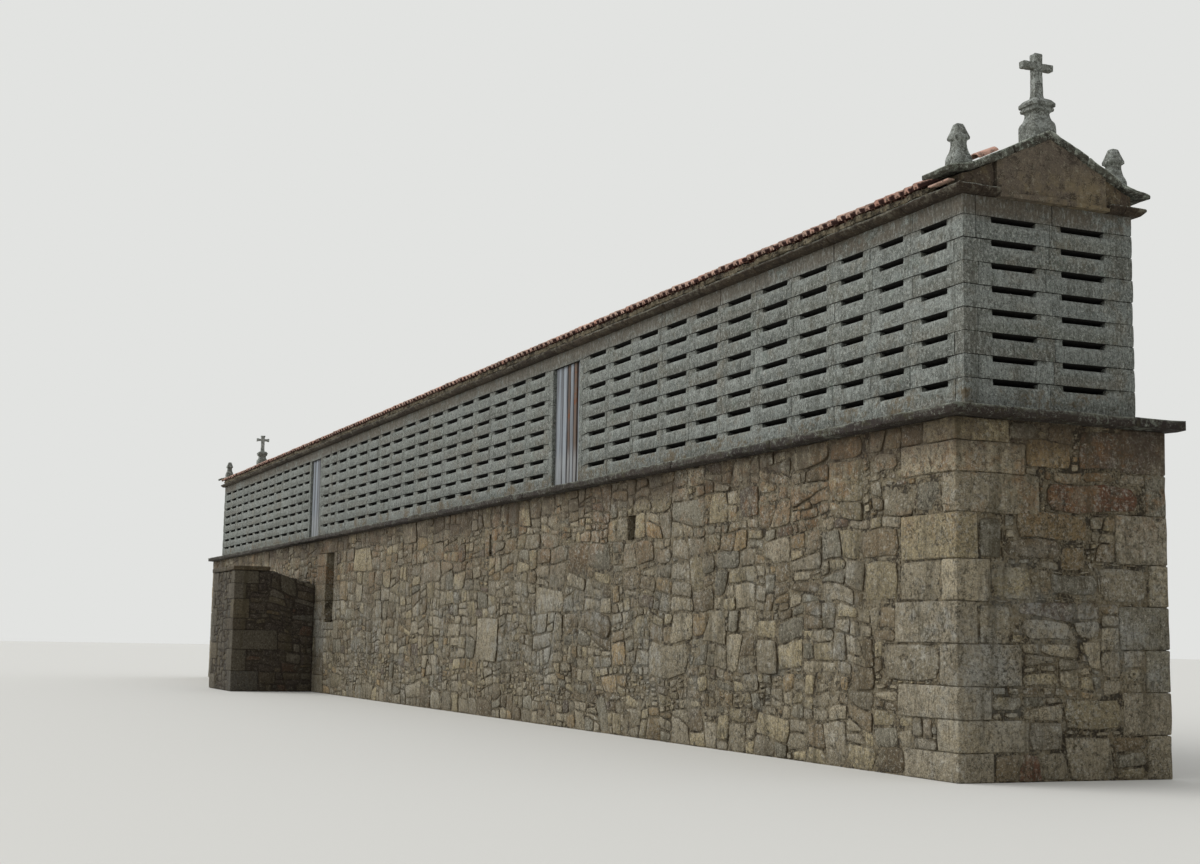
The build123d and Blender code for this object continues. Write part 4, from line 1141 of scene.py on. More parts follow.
def makeLanding():
    m, draw = landing, np.random.default_rng(landing["seed"])
    footprints, quoins = {"front": [], "back": [], "east": [], "west": []}, []
    cornerColumn(m, 1, -1, m["eastRows"], quoins, footprints)
    cornerColumn(m, -1, -1, drawnRows(m["top"], True, draw), quoins, footprints)
    # The landing uses the darker damp material, which also carries painted shade; its east face takes the darkest
    # shares.
    layQuoins("landingQuoins", quoins, m, 22, dampShadedStone)
    sides = (("front", lambda u: m["top"] + 0 * u, commonShares),
             ("east", lambda u: landingTop(m["y0"] + u), dampShadedShares),
             ("west", lambda u: landingTop(m["y1"] - u), commonShares))
    parts = [rubbleSide(m, side, footprints[side], (), 45 + k, m["fineness"], heightOf, shares)
             for k, (side, heightOf, shares) in enumerate(sides)]
    addPiece("landingRubble", joinParts(parts), dampShadedStone)

    # The core: a grid over the whole block seen from above, its rim folded down to the ground
    r = masonry["recess"]
    x, y = np.meshgrid(np.linspace(m["x0"] + r, m["x1"] - r, m["coreCells"][0]),
                       np.linspace(m["y0"] + r, m["y1"], m["coreCells"][1]), indexing="ij")
    within = np.clip(np.minimum(x - x.min(), x.max() - x) / 0.2, 0, 1)
    lumps = sum(reach * ripple(bundle(x, y, 0.0), size, seed) for reach, size, seed in m["coreLumps"])
    upper, lower = bundle(x, y, landingTop(y) - 0.03 + lumps * within), bundle(x, y, 0.0)
    core = twoSheets(upper, lower, m["coreMarks"], m["coreMarks"])
    addPiece("landingCore", core, dampShadedStone, ("landing_block",), 40.0)

    # Edge slabs, then flat stones lying on the slope
    ends, inner = np.array(m["slabEnds"]), slabLow.y + 2 * np.array(m["slabHalves"])
    boxes = bundle(ends[:-1], ends[1:], slabLow.y, inner, slabLow.z, slabHigh.z)
    points, *rest = blockStones(boxes, m["slabTints"], **m["slabStone"])
    outward = np.sign(points - [(slabLow.x + slabHigh.x) / 2, -1.7, 2.74])
    slabs = points - np.abs(ripples(points, 0.3, 61)) * m["slabWear"] * outward, *rest
    count = m["looseStones"]
    spots = draw.uniform((m["x0"] + 0.2, m["y0"] + 0.75), (m["x1"] - 0.2, m["y1"] - 0.12), (count, 2))
    centres = bundle(*spots.T, landingTop(spots[:, 1]) - 0.015)
    halves = bundle(*[draw.uniform(*span, count) for span in m["looseHalves"]])
    loose = blockStones(around(centres, halves), rubbleTints(spots, draw), **m["looseStone"])
    addPiece("landingSlabs", joinParts([slabs, loose]), dampShadedStone, ("landing_cap_slab",))


makeLanding()
print("landing made")


# Slab rows: ledge and cornice, as rounded slabs laid along each side

slabs = {
    "ledge": {
        "outFront": -0.15, "outEnd": -0.205, "inner": 0.52, "low": baseTop, "high": wallLow.z,
        "lengths": (1.1, 2.3), "wear": 0.022, "cornerRadius": 0.13, "undercut": 0.0, "leastHeight": 0.88,
        "stone": {"edge": 0.016, "cells": (14, 5, 5), "gaps": (0.003, 0, 0)}, "seed": 3},
    "cornice": {
        "outFront": 0.09, "outEnd": 0.035, "inner": 0.38,
        "low": courseTop, "high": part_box("cornice_front")[1].z,
        "lengths": (0.9, 1.9), "wear": 0.014, "cornerRadius": 0.03, "undercut": 0.045, "leastHeight": 0.9,
        "stone": {"edge": 0.014, "cells": (14, 5, 5), "gaps": (0.003, 0, 0)}, "seed": 6,
        "eastCuts": (0.38, 0.60, 1.95, 2.128), "eastHeights": (1.0, 0.0, 1.0)},
}


def slabCuts(row, side, length, draw):
    # Places of the slab ends along a side, and each slab's share of the row's height.
    if side == "east" and "eastCuts" in row:
        return np.array(row["eastCuts"]), np.array(row["eastHeights"])
    margin = row["outEnd"] if side in ("front", "back") else row["inner"]
    cuts = [margin]
    while length - margin - cuts[-1] > row["lengths"][1]:
        cuts.append(cuts[-1] + draw.uniform(*row["lengths"]))
    return np.array(cuts + [length - margin]), draw.uniform(row["leastHeight"], 1.0, len(cuts))


def slabRows(name, row, material, nodes):
    # Slabs on every side, then outer edges worn back by a noise, feet raised and corners rounded.
    draw, parts, offsets, shares = np.random.default_rng(row["seed"]), [], [], []
    for side in ("front", "east", "back", "west"):
        cuts, tops = slabCuts(row, side, sideWidth(baseSides, side), draw)
        starts, ends, tops = cuts[:-1][tops > 0], cuts[1:][tops > 0], tops[tops > 0]
        out = row["outFront"] if side in ("front", "back") else row["outEnd"]
        boxes = bundle(starts, ends, out, row["inner"], row["low"], row["high"])
        points, *rest = blockStones(boxes, draw.random((len(tops), 2)), **row["stone"])
        parts.append((onSide(baseSides, side, *points.T), *rest))
        offsets.append(np.repeat(draw.uniform(0, 0.014, len(tops)), len(points) // len(tops)))
        shares.append(np.repeat(tops, len(points) // len(tops)))
    points, faces, marks = joinParts(parts)
    offset, share, wear, seed = np.concatenate(offsets), np.concatenate(shares), row["wear"], row["seed"]
    x, y, z = points.T
    reachX, y0, y1 = baseX - row["outEnd"], baseY0 + row["outFront"], baseY1 - row["outFront"]
    outerX = np.clip(1 - (reachX - np.abs(x)) / 0.12, 0, 1)
    outerY = np.clip(1 - np.minimum(y - y0, y1 - y) / 0.12, 0, 1)
    outer, lower = np.maximum(outerX, outerY), np.clip(1 - (z - row["low"]) / 0.05, 0, 1)
    upper = np.clip((z - row["high"] + 0.05) / 0.05, 0, 1)
    chips = 0.5 + 0.5 * ripple(points * [1, 1, 0.5], 0.35, seed) + 0.35 * ripple(points, 0.11, seed + 1)
    push = offset + wear * np.clip(chips, 0, 1.3) + lower * row["undercut"]
    x = x - np.sign(x) * outerX * push
    y = y + np.where(y < (y0 + y1) / 2, 1, -1) * outerY * push
    z = z + outer * lower * wear * 0.8 * np.clip(0.5 + ripple(points, 0.5, seed + 2), 0, 1.2)
    z = z - outer * upper * wear * 0.5 * np.clip(chips, 0, 1)
    z = row["low"] + (z - row["low"]) * (1 - outer * (1 - share))
    radius = row["cornerRadius"]
    for signX, signY, edge in ((-1, -1, y0), (-1, 1, y1), (1, -1, y0), (1, 1, y1)):
        toX, toY = x - signX * (reachX - radius), y - (edge - signY * radius)
        length = np.hypot(toX, toY)
        atCorner = (toX * signX > 0) & (toY * signY > 0) & (length > radius)
        pull = np.where(atCorner, 1 - radius / np.maximum(length, 1e-6), 0.0)
        x, y = x - toX * pull, y - toY * pull
    addPiece(name, (bundle(x, y, z), faces, marks), material, nodes, 45.0)


slabRows("ledgeSlabs", slabs["ledge"], ledgeStone, ("ledge_front", "ledge_back", "ledge_ends"))
slabRows("corniceSlabs", slabs["cornice"], corniceStone, ("cornice_front", "cornice_back", "cornice_ends"))
print("ledge and cornice made")


# Gables: raking coping slabs, pinnacles, pedestals, tympanum stones and crosses

gable = {
    "outer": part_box("east_coping_front")[1].x, "inner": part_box("east_coping_front")[0].x,
    "apex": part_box("east_coping_front")[1].z + 0.018,
    "reach": 1.245, "slope": 0.4835, "eaveSlope": 0.225, "flare": 0.297, "bend": 0.09, "thickness": 0.10,
    "joints": (0.0, 0.47, 0.9, 1.245), "wear": 0.016, "thinning": 0.45, "seed": 14,
    "stone": {"edge": 0.018, "cells": (10, 8, 5), "gaps": (0.002, 0, 0)},
    "pinnacleReach": 0.955, "squareness": 14.0, "turns": 32, "finialRough": 0.0018,
}
gableMiddleX = (gable["outer"] + gable["inner"]) / 2
# Half widths by height above the slab they stand on
pinnacleProfile = (
    (-0.05, 0.100), (0.02, 0.104), (0.07, 0.102), (0.10, 0.094), (0.14, 0.076), (0.18, 0.066), (0.225, 0.061),
    (0.255, 0.063), (0.272, 0.085), (0.276, 0.0865), (0.296, 0.0865), (0.302, 0.083), (0.36, 0.062),
    (0.415, 0.043), (0.428, 0.034), (0.430, 0.018))
pedestalProfile = (
    (-0.17, 0.142), (0.02, 0.144), (0.075, 0.142), (0.10, 0.134), (0.13, 0.112), (0.17, 0.098), (0.205, 0.094),
    (0.222, 0.104), (0.230, 0.127), (0.250, 0.131), (0.256, 0.122), (0.270, 0.123), (0.276, 0.141),
    (0.305, 0.142), (0.310, 0.136), (0.340, 0.112), (0.352, 0.096), (0.355, 0.080))
# Ends of each stone across the gable, bed, how far it stands out, the same at its foot, colour class
tympanumStones = {
    # The side stones take the dark class 1, partly their own colour and partly painted shade where they lie back
    # under the coping.
    "east": ((-1.03, -0.648, 5.691, 0.0, 0.0, 1), (-0.648, 0.69, courseTop, 0.045, 0.05, 0),
             (0.69, 1.03, 5.691, 0.01, 0.0, 1)),
    "west": ((-1.03, 0.2, 5.691, 0.0, 0.0, 0), (0.2, 1.03, 5.691, 0.01, 0.0, 1)),
}
cross = {
    "stemHalf": 0.0475, "armHalf": 0.0325, "armHeight": 0.37, "footFlare": 0.016, "footReach": 0.05,
    "tipReach": 0.07, "plainArm": 0.115, "rough": 0.0025,
    # The west cross takes the palest class as painted light, for the bright sky light on its shaded side.
    "east": {"flare": 0.004, "tint": 0.3}, "west": {"flare": 0.020, "tint": 1.0},
}


def rakingHeight(reach):
    # Height of the coping's top: the steep slope eases to the eave slope over the bend.
    fine = np.linspace(0, 1.3, 400)
    knee = gable["reach"] - gable["flare"]
    share = np.clip((fine - knee + gable["bend"]) / (2 * gable["bend"]), 0, 1)
    share = share * share * (3 - 2 * share)
    slope = gable["slope"] + (gable["eaveSlope"] - gable["slope"]) * share
    drop = np.concatenate([[0], np.cumsum((slope[1:] + slope[:-1]) / 2 * np.diff(fine))])
    return gable["apex"] - np.interp(reach, fine, drop), np.interp(reach, fine, slope)


def faced(rows, outward):
    # Faces turned over where a shape is mirrored.
    return rows if outward else [some[:, ::-1] for some in rows]


def copingSlabs(end, name):
    # Slabs laid flat along the reach, then bent onto the raking line, square to it.
    draw, cuts, wear = np.random.default_rng(gable["seed"]), np.array(gable["joints"]), gable["wear"]
    half, parts = (gable["outer"] - gable["inner"]) / 2, []
    for side in (-1, 1):
        boxes = bundle(cuts[:-1], cuts[1:], -half, half, -gable["thickness"], 0.0)
        points, faces, marks = blockStones(boxes, draw.random((len(boxes), 2)), **gable["stone"])
        reach, across, lift = points.T
        chips = np.clip(0.5 + 0.6 * ripple(points + side, 0.3, 5) + 0.5 * ripple(points - side, 0.1, 6), 0, 1.4)
        across = across - np.sign(across) * np.clip((np.abs(across) - 0.13) / 0.1, 0, 1) * wear * chips
        thinned = lift * (1 - gable["thinning"] * np.clip(reach / gable["reach"], 0, 1) ** 2)
        lift = thinned + np.where(lift < -0.05, 1, -0.4) * wear * chips * 0.7
        z, slope = rakingHeight(reach)
        normal = 1 / np.sqrt(1 + slope ** 2)
        y = chamberMiddle + side * (reach + lift * slope * normal)
        points = bundle(end * (gableMiddleX + across), y, z + lift * normal)
        parts.append((points, faced(faces, end != side), marks))
    nodes = (name + "_coping_front", name + "_coping_back")
    addPiece(name + "CopingSlabs", joinParts(parts), copingStone, nodes, 45.0)


def squareTurned(profile, place, seed):
    # A turned stone with a squarish section: half width by height, times the reach of a rounded square.
    heights, widths = np.array(profile).T
    corner, turns = gable["squareness"], gable["turns"]
    angles = (np.arange(turns) + 0.5) / turns * 2 * np.pi
    square = 1 / (np.abs(np.cos(angles)) ** corner + np.abs(np.sin(angles)) ** corner) ** (1 / corner)
    reach = widths[:, None] * square
    rings = bundle(reach * np.cos(angles), reach * np.sin(angles), heights[:, None]).reshape(-1, 3)
    points = np.concatenate([rings, [(0, 0, heights[0]), (0, 0, heights[-1])]]) + place
    points[:-2] += ripples(points[:-2], 0.09, seed) * gable["finialRough"]
    faces = list(closedRings(turns, len(heights), len(rings), len(rings) + 1))
    return points, faces, np.full(points.shape, (0.4, 0.5, 0.0))


def finials(end, name):
    # A pinnacle on each foot of the gable, and the pedestal of the cross.
    x, reach, parts = end * gableMiddleX, gable["pinnacleReach"], []
    for side in (-1, 1):
        place = (x, chamberMiddle + side * reach, rakingHeight(reach)[0])
        parts.append(squareTurned(pinnacleProfile, place, 50 + side + end))
    addPiece(name + "Pinnacles", joinParts(parts), finialStone, (name + "_pinnacles",))
    pedestal = squareTurned(pedestalProfile, (x, chamberMiddle, gable["apex"]), 60 + end)
    addPiece(name + "Pedestal", pedestal, finialStone, (name + "_cross_pedestal",))


def tympanum(end, name):
    # Stones under the coping: a grid from the bed to the coping's foot, edges worn back a little.
    (inner, outer), parts = (corner.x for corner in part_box("east_tympanum")), []
    for first, last, bed, proud, foot, tint in tympanumStones[name]:
        share, up = np.linspace(0, 1, 19), np.concatenate([[0, 0.01, 0.09, 0.12], np.linspace(0.25, 1, 7)])
        across, up = np.meshgrid(first + 0.002 + (last - first - 0.004) * share, up, indexing="ij")
        head = rakingHeight(np.abs(across))[0] - gable["thickness"] * 0.9
        z = bed + (np.maximum(head, bed + 0.02) - bed) * up
        rim = np.minimum(np.minimum(share, 1 - share)[:, None] * (last - first), up * 0.4)
        wear = 0.012 * np.exp(-rim / 0.012) + 0.003 * ripple(bundle(across, z, 0.0), 0.25, 8)
        near = bundle(end * (outer + proud + foot * (up < 0.1) - wear), chamberMiddle + across, z)
        far = bundle(end * inner, chamberMiddle + across, z)
        points, faces, marks = twoSheets(near, far, (tint, 0.5, 0), (tint, 0.5, 0))
        parts.append((points, faced(faces, end > 0), marks))
    nodes = (name + "_tympanum",)
    addPiece(name + "TympanumStones", joinParts(parts), ochreStone, nodes, 45.0)


def crossStone(name):
    # Stem and arms as two worn bars. The stem's foot and, on the west gable, all the tips flare.
    low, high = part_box(name + "_cross")
    middle, (thick, wide, tall) = (low + high) / 2, (high - low) / 2
    flare, half, tip = cross[name]["flare"], cross["stemHalf"], cross["tipReach"]
    bar, quads = unitBar((5, 5, 14), 0.14)
    z = middle.z + bar[:, 2] * tall
    width = half + cross["footFlare"] * np.exp(-(z - low.z) / cross["footReach"])
    width += flare * np.clip((z - high.z + tip) / tip, 0, 1)
    stem = bundle(middle.x + bar[:, 0] * thick * width / half, middle.y + bar[:, 1] * width, z)
    reach = bar[:, 2] * wide
    width = cross["armHalf"] + flare * np.clip((np.abs(reach) - cross["plainArm"]) / tip, 0, 1)
    armZ = low.z + cross["armHeight"] + bar[:, 1] * width
    arms = bundle(middle.x + bar[:, 0] * (thick - 0.003), middle.y + reach, armZ)
    marks = np.full(bar.shape, (cross[name]["tint"], 0.5, 0.0))
    points, *rest = joinParts([(stem, [quads], marks), (arms, [quads[:, ::-1]], marks)])
    points = points + ripples(points, 0.06, 90) * cross["rough"]
    points[:, 2] = np.minimum(points[:, 2], high.z)
    addPiece(name + "CrossStone", (points, *rest), finialStone, (name + "_cross",))


for end, name in ((1, "east"), (-1, "west")):
    copingSlabs(end, name)
    finials(end, name)
for end, name in ((1, "east"), (-1, "west")):
    tympanum(end, name)
    crossStone(name)
print("gables made")


# Upper doors: weathered planks, battens behind them, and stone jambs

doors = {
    "east": {"shares": (0.27, 0.17, 0.12, 0.12, 0.14, 0.18), "tints": (0.12, 0.0, 0.85, 0.05, 0.95, 0.25),
             "gaps": (0.006, 0.035, 0.012, 0.02, 0.05), "foot": 0.07, "seed": 2},
    "west": {"shares": (0.27, 0.25, 0.24, 0.24), "tints": (0.15, 0.0, 0.3, 0.2), "gaps": (0.010, 0.012, 0.012),
             "foot": 0.03, "seed": 3},
    "thick": 0.035, "battens": 0.32, "battenHalf": 0.06, "jambWidth": 0.126,
    "edgeWander": 0.05, "footFade": 0.12, "cup": 0.004, "wander": 0.003, "apart": 0.004,
    "jambHeads": ((0.5, 0.7), (1.15, 1.35)),
    "jambStone": {"edge": 0.008, "cells": (5, 5, 8), "gaps": (0, 0, 0.002), "rough": 0.002, "seed": 46},
}


def plankDoor(name):
    # Boards side by side: edges wander, feet are ragged, and each one is cupped and set a little apart.
    door, draw = doors[name], np.random.default_rng(doors[name]["seed"])
    low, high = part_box(name + "_door")
    middle, half, thick = (low + high) / 2, (high - low) / 2, doors["thick"] / 2
    bar, quads = unitBar((6, 3, 18), 0.03)
    ends = low.x + 2 * half.x * np.cumsum((0, *door["shares"]))
    gaps = np.array((0, *door["gaps"], 0)) / 2
    parts = []
    for k, (left, right) in enumerate(zip(ends[:-1] + gaps[:-1], ends[1:] - gaps[1:])):
        z = middle.z + bar[:, 2] * half.z
        edge = 1 - doors["edgeWander"] * np.clip(ripple(bundle(z, bar[:, 0], 0.0) + k * 3, 0.4, 12), 0, 1)
        x = (left + right) / 2 + bar[:, 0] * (right - left) / 2 * edge
        ragged = np.clip(0.4 + ripple(bundle(x * 3, 0.0, 0.0), 0.3, 13 + k), 0, 1.4)
        z = z + np.exp(-(z - low.z) / doors["footFade"]) * door["foot"] * ragged
        cup = doors["cup"] * bar[:, 0] ** 2 + doors["wander"] * ripple(bundle(x, 0.0, z), 0.7, 15 + k)
        y = low.y + thick + bar[:, 1] * (thick - doors["apart"]) + cup + draw.uniform(0, doors["apart"])
        # Each board is darker towards its long edges.
        boardEdgeDark = np.clip(np.abs(bar[:, 0]) * 3 - 2.4, 0, 0.6)
        parts.append((bundle(x, y, z), [quads], bundle(door["tints"][k], draw.random(), boardEdgeDark)))
    for height in (low.z + doors["battens"], high.z - doors["battens"]):
        batten = bar * [half.x - 0.02, high.y / 2 - 0.001, doors["battenHalf"]]
        batten = batten + [middle.x, high.y / 2 + 0.001, height]
        parts.append((batten, [quads], np.full(bar.shape, (0.8, 0.5, 0.0))))
    addPiece(name + "DoorPlanks", joinParts(parts), greyWood, (name + "_door",), 40.0)


def doorJambs(name):
    # Three stones on each side of the door.
    draw, boxes = np.random.default_rng(7), []
    low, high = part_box(name + "_door_jambs")
    for x in (low.x + 0.002, high.x - doors["jambWidth"] - 0.002):
        cuts = [low.z, *(low.z + draw.uniform(*head) for head in doors["jambHeads"]), high.z]
        for foot, head in zip(cuts[:-1], cuts[1:]):
            boxes.append((x, x + doors["jambWidth"], low.y, high.y, foot, head))
    tints = [(draw.uniform(0.3, 0.5), draw.random()) for _ in boxes]
    points, *rest = blockStones(np.array(boxes), tints, **doors["jambStone"])
    points[:, 1] = np.maximum(points[:, 1], low.y)
    nodes = (name + "_door_jambs",)
    addPiece(name + "JambStones", (points, *rest), ashlarStone, nodes, 45.0)


for name in ("east", "west"):
    plankDoor(name)
    doorJambs(name)
print("doors made")


# Roof: rows of curved clay tiles, hollow ones below and covers above, with a capped ridge

tiles = {
    "pitch": 0.184, "rows": 4, "length": 0.42, "coverWidth": 0.082, "narrow": 0.82, "rise": 0.062,
    # paintedShade and channelShade set how much painted shade lies along the cover feet and in the channels
    "thick": 0.013, "filled": 0.05, "setBack": 0.07, "paintedShade": 0.95, "channelShade": 0.35,
    "eaveReach": 1.19, "eaveHeight": 5.697, "slope": 0.442, "turn": 0.02, "roll": 0.05, "seed": 17,
    "hollow": {"upward": -1, "segments": 4, "lift": 0.055, "scale": (1, 1, 1)},
    "cover": {"upward": 1, "segments": 6, "lift": 0.052, "scale": (0.80, 1, 1)},
    "ridgeLength": 0.40, "ridgePitch": 0.33, "ridgeScale": (1.35, 1.2), "ridgeLift": 0.055,
    "rowSlip": 0.008, "sideSlip": 0.004, "liftSlip": 0.003, "rowLift": 0.002,
    "bedStones": 30, "bedReach": 1.05, "bedHalves": (0.10, 0.032),
    "bedStone": {"edge": 0.012, "cells": (16, 4, 3), "rough": 0.012, "seed": 77},
    "strayReach": 0.60, "strayLength": 0.62, "flatTile": ((0.16, -1.11, 5.752), (0.17, 0.04, 0.009)),
    "flatStone": {"edge": 0.004, "cells": (5, 4, 3), "rough": 0.002, "seed": 78},
}
roofEnd = gable["inner"] - 0.005


def tileShape(segments, upward, thick, scale=(1, 1, 1)):
    # Half barrel: an arc at each end, outer and inner skins, closed rim. Local axes: across, along, up.
    angles, skins = np.linspace(0, np.pi, segments + 1), []
    for radius in (1.0, 1.0 - thick / tiles["coverWidth"]):
        for along, narrow in ((0.0, 1.0), (tiles["length"], tiles["narrow"])):
            across = -np.cos(angles) * radius * narrow * tiles["coverWidth"]
            skins.append(bundle(across, along, np.sin(angles) * radius * narrow * tiles["rise"] * upward))
    n, k = segments + 1, np.arange(segments)
    outerLow, outerHigh, innerLow, innerHigh = (k + n * s for s in range(4))
    pairs = ((outerHigh, outerLow), (innerLow, innerHigh), (outerLow, innerLow), (innerHigh, outerHigh))
    quads = [bundle(a, a + 1, b + 1, b) for a, b in pairs]
    quads.append(np.array([[0, n, 3 * n, 2 * n], [segments, 2 * n + segments, 3 * n + segments, n + segments]]))
    quads = np.concatenate(quads)
    return np.concatenate(skins) * scale, quads if upward > 0 else quads[:, ::-1]


def placeTiles(shape, origin, axes, draw, tint):
    # One array of tiles: origin + local coordinates on the three axes, each turned a little.
    points, quads = shape
    count = len(origin)
    turn, roll = (draw.normal(0, tiles[key], count)[:, None] for key in ("turn", "roll"))
    x, y, z = points.T
    spots = origin[:, None] + bundle(x - turn * y, y + turn * x, z + roll * x) @ np.array(axes)
    # Painted shade darkens the sides of each cover towards its feet, and the channel tiles, where shade falls
    # between the covers
    foot = np.abs(x) / np.abs(x).max()
    paintedShade = tiles["channelShade"] if z.min() < -0.01 else foot ** 2 * tiles["paintedShade"]
    marks = bundle(*tint.T[:, :, None], paintedShade + 0 * x)
    return spots.reshape(-1, 3), [copies(quads, count, len(points))], marks.reshape(-1, 3)


def slopeAxes(slope, side):
    # Across, up the slope, and square to it.
    length = math.hypot(1, slope)
    return (-side, 0, 0), (0, -side / length, slope / length), (0, side * slope / length, 1 / length)


def roofSlope(name, side, node):
    draw, parts = np.random.default_rng(tiles["seed"] + side), []
    columns = round(2 * roofEnd / tiles["pitch"])
    step = 2 * roofEnd / columns
    axes = slopeAxes(tiles["slope"], side)
    exposure = (tiles["eaveReach"] * math.hypot(1, tiles["slope"]) - tiles["length"]) / (tiles["rows"] - 1)
    eave = np.array([0, chamberMiddle + side * tiles["eaveReach"], tiles["eaveHeight"]])
    for kind in ("hollow", "cover"):
        t, hollow = tiles[kind], kind == "hollow"
        x = -roofEnd + step * (np.arange(columns) + 0.5) + step * 0.5 * hollow
        x, row = np.meshgrid(x[np.abs(x) < roofEnd - 0.05], np.arange(tiles["rows"]), indexing="ij")
        x, row, count = x.ravel(), row.ravel(), x.size
        along = row * exposure + draw.normal(0, tiles["rowSlip"], count) + tiles["setBack"] * hollow
        origin = eave + bundle(x + draw.normal(0, tiles["sideSlip"], count), 0.0, 0.0) + along[:, None] * axes[1]
        lift = t["lift"] + row * tiles["rowLift"] + draw.normal(0, tiles["liftSlip"], count)
        origin = origin + lift[:, None] * axes[2]
        # Hollow tiles take the darker colours as painted shade in the channels; covers take the paler ones.
        tintWithHollowShade = 0.35 + 0.2 * draw.random(count) if hollow else 0.6 + 0.4 * draw.random(count)
        tint = bundle(tintWithHollowShade, draw.random(count))
        # Mortar fills most of the mouth of each cover tile along the eave
        atEave = (row == 0) & (not hollow)
        for chosen, thick in ((atEave, tiles["filled"]), (~atEave, tiles["thick"])):
            if chosen.any():
                shape = tileShape(t["segments"], t["upward"], thick, t["scale"])
                parts.append(placeTiles(shape, origin[chosen], axes, draw, tint[chosen]))
    addPiece(name, joinParts(parts), clayTile, (node,))


def ridgeTiles():
    draw = np.random.default_rng(29)
    wide, tall = tiles["ridgeScale"]
    shape = tileShape(8, 1, tiles["thick"], (wide, tiles["ridgeLength"] / tiles["length"], tall))
    count = round(2 * roofEnd / tiles["ridgePitch"])
    places = -roofEnd + (2 * roofEnd - tiles["ridgeLength"]) * np.arange(count) / (count - 1)
    ridge = tiles["eaveHeight"] + tiles["slope"] * tiles["eaveReach"] + tiles["ridgeLift"]
    origin = bundle(places, chamberMiddle, ridge + draw.normal(0, tiles["liftSlip"], count))
    tint = draw.random((count, 2))
    parts = placeTiles(shape, origin, ((0, -1, 0), (1, 0, 0), (0, 0, 1)), draw, tint)
    addPiece("ridgeTiles", parts, clayTile, ("roof_ridge",))


def eaveBed():
    # Lumpy mortar that the lowest tiles lie in.
    x1, count, parts = gable["inner"] - 0.01, tiles["bedStones"], []
    x, z = -x1 + x1 / count * (2 * np.arange(count) + 1), slabs["cornice"]["high"] + 0.03
    for side in (-1, 1):
        boxes = around(bundle(x, chamberMiddle + side * tiles["bedReach"], z), (x1 / count, *tiles["bedHalves"]))
        parts.append(blockStones(boxes, [(0.2, 0.5)] * count, **tiles["bedStone"]))
    points, *rest = joinParts(parts)
    points[:, 0] = np.clip(points[:, 0], -x1, x1)
    addPiece("eaveBed", (points, *rest), earthJoint, (), 60.0)


def strayTiles():
    # A cover tile lying on the coping, and a flat one pushed under its front corner.
    draw, reach, inner = np.random.default_rng(5), tiles["strayReach"], gable["inner"]
    origin = np.array([(inner + 0.02, chamberMiddle - reach, rakingHeight(reach)[0] + 0.012)])
    shape = tileShape(8, 1, tiles["thick"], (1, tiles["strayLength"], 1))
    axes, tint = slopeAxes(gable["slope"], -1), np.array([[0.9, 0.9]])
    points, faces, marks = placeTiles(shape, origin, axes, draw, tint)
    marks[:, 2] = 0
    place, halves = tiles["flatTile"]
    box = around(np.array([(inner, chamberMiddle, 0.0)]) + place, halves)
    flat = blockStones(box, [(0.75, 0.9)], **tiles["flatStone"])
    addPiece("strayTiles", joinParts([(points, faces, marks), flat]), clayTile)


eaveBed()
strayTiles()
roofSlope("frontTiles", -1, "roof_front")
roofSlope("backTiles", 1, "roof_back")
ridgeTiles()
print("roof made")


# Stage: pale floor and backdrop, soft light, and the camera at the photograph's place

stage = {
    "floorSize": 400.0, "floor": paint((206, 204, 198)), "backdrop": paint((226, 227, 225)), "roughness": 0.9,
    "skyTowards": (-0.72, -0.60, 0.35), "skyBright": 1.2, "skyDark": 0.3, "skyColour": (0.96, 0.98, 1.0, 1.0),
    "sunLight": 1.3, "sunTurn": (-40.0, 38.0), "sunSoftness": 40.0, "sunDistance": 40,
}
view = {
    "place": (31.6095, -9.5042, 1.231), "yaw": -66.6995, "pitch": 7.1565, "roll": 0.9967, "lens": 50.13,
    "sensor": 36.0, "farthest": 500.0,
}


def makeFloor():
    half = stage["floorSize"] / 2
    mesh = bpy.data.meshes.new("floor")
    mesh.from_pydata([(-half, -half, 0), (half, -half, 0), (half, half, 0), (-half, half, 0)], [], [(0, 1, 2, 3)])
    material = bpy.data.materials.new("paleFloor")
    material.use_nodes = True
    shader = material.node_tree.nodes["Principled BSDF"].inputs
    shader["Base Color"].default_value = stage["floor"]
    shader["Roughness"].default_value = stage["roughness"]
    mesh.materials.append(material)
    floor = bpy.data.objects.new("floor", mesh)
    bpy.context.scene.collection.objects.link(floor)


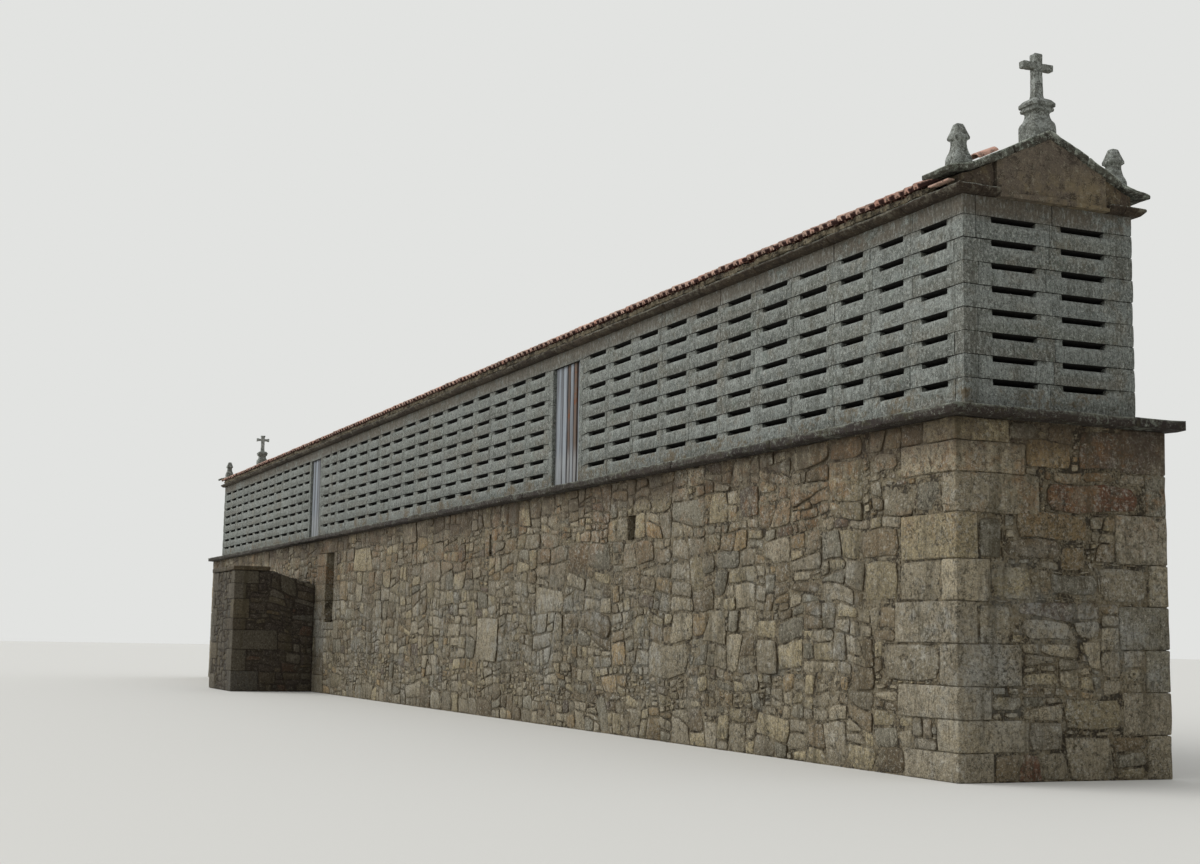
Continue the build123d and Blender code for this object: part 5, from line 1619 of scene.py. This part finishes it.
def makeLights():
    world = bpy.data.worlds.new("softRoom")
    bpy.context.scene.world = world
    world.use_nodes = True
    tree = world.node_tree
    seen = tree.nodes["Background"]
    seen.inputs[0].default_value = stage["backdrop"]
    # The sky is brighter on the side that faces the front's far end
    direction = addNode(tree, "TexCoord").outputs["Generated"]
    heading = addNode(tree, "VectorMath", {"operation": "DOT_PRODUCT"}, i0=direction, i1=stage["skyTowards"])
    strength = ranged(tree, heading.outputs["Value"], -1.0, 1.0, stage["skyDark"], stage["skyBright"])
    light = addNode(tree, "Background", Color=stage["skyColour"], Strength=strength)
    path = addNode(tree, "LightPath").outputs
    shown = calc(tree, "MAXIMUM", path["Is Camera Ray"], path["Is Glossy Ray"])
    shown = calc(tree, "MAXIMUM", shown, path["Is Transmission Ray"])
    mix = addNode(tree, "MixShader", i0=shown, i1=light.outputs[0], i2=seen.outputs[0])
    tree.links.new(mix.outputs[0], tree.nodes["World Output"].inputs[0])
    lamp = bpy.data.lights.new("softKey", "SUN")
    lamp.energy, lamp.angle = stage["sunLight"], math.radians(stage["sunSoftness"])
    key = bpy.data.objects.new("softKey", lamp)
    turn, height = (math.radians(v) for v in stage["sunTurn"])
    toLight = Vector((math.sin(turn) * math.cos(height), -math.cos(turn) * math.cos(height), math.sin(height)))
    key.rotation_mode = "QUATERNION"
    key.rotation_quaternion = toLight.to_track_quat("Z", "Y")
    key.location = toLight * stage["sunDistance"]
    bpy.context.scene.collection.objects.link(key)


def makeCamera():
    yaw, pitch, roll = (math.radians(view[k]) for k in ("yaw", "pitch", "roll"))
    forward = Vector((math.cos(pitch) * math.sin(yaw), math.cos(pitch) * math.cos(yaw), math.sin(pitch)))
    right = forward.cross(Vector((0, 0, 1))).normalized()
    up = right.cross(forward)
    rolledRight = right * math.cos(roll) + up * math.sin(roll)
    rolledUp = up * math.cos(roll) - right * math.sin(roll)
    data = bpy.data.cameras.new("camera")
    data.lens, data.sensor_width, data.clip_end = view["lens"], view["sensor"], view["farthest"]
    camera = bpy.data.objects.new("camera", data)
    turn = Matrix((rolledRight, rolledUp, -forward)).transposed()
    camera.matrix_world = Matrix.Translation(view["place"]) @ turn.to_4x4()
    bpy.context.scene.collection.objects.link(camera)
    bpy.context.scene.camera = camera


makeFloor()
makeLights()
makeCamera()
bpy.context.scene.view_settings.view_transform = "Standard"
print("stage set")
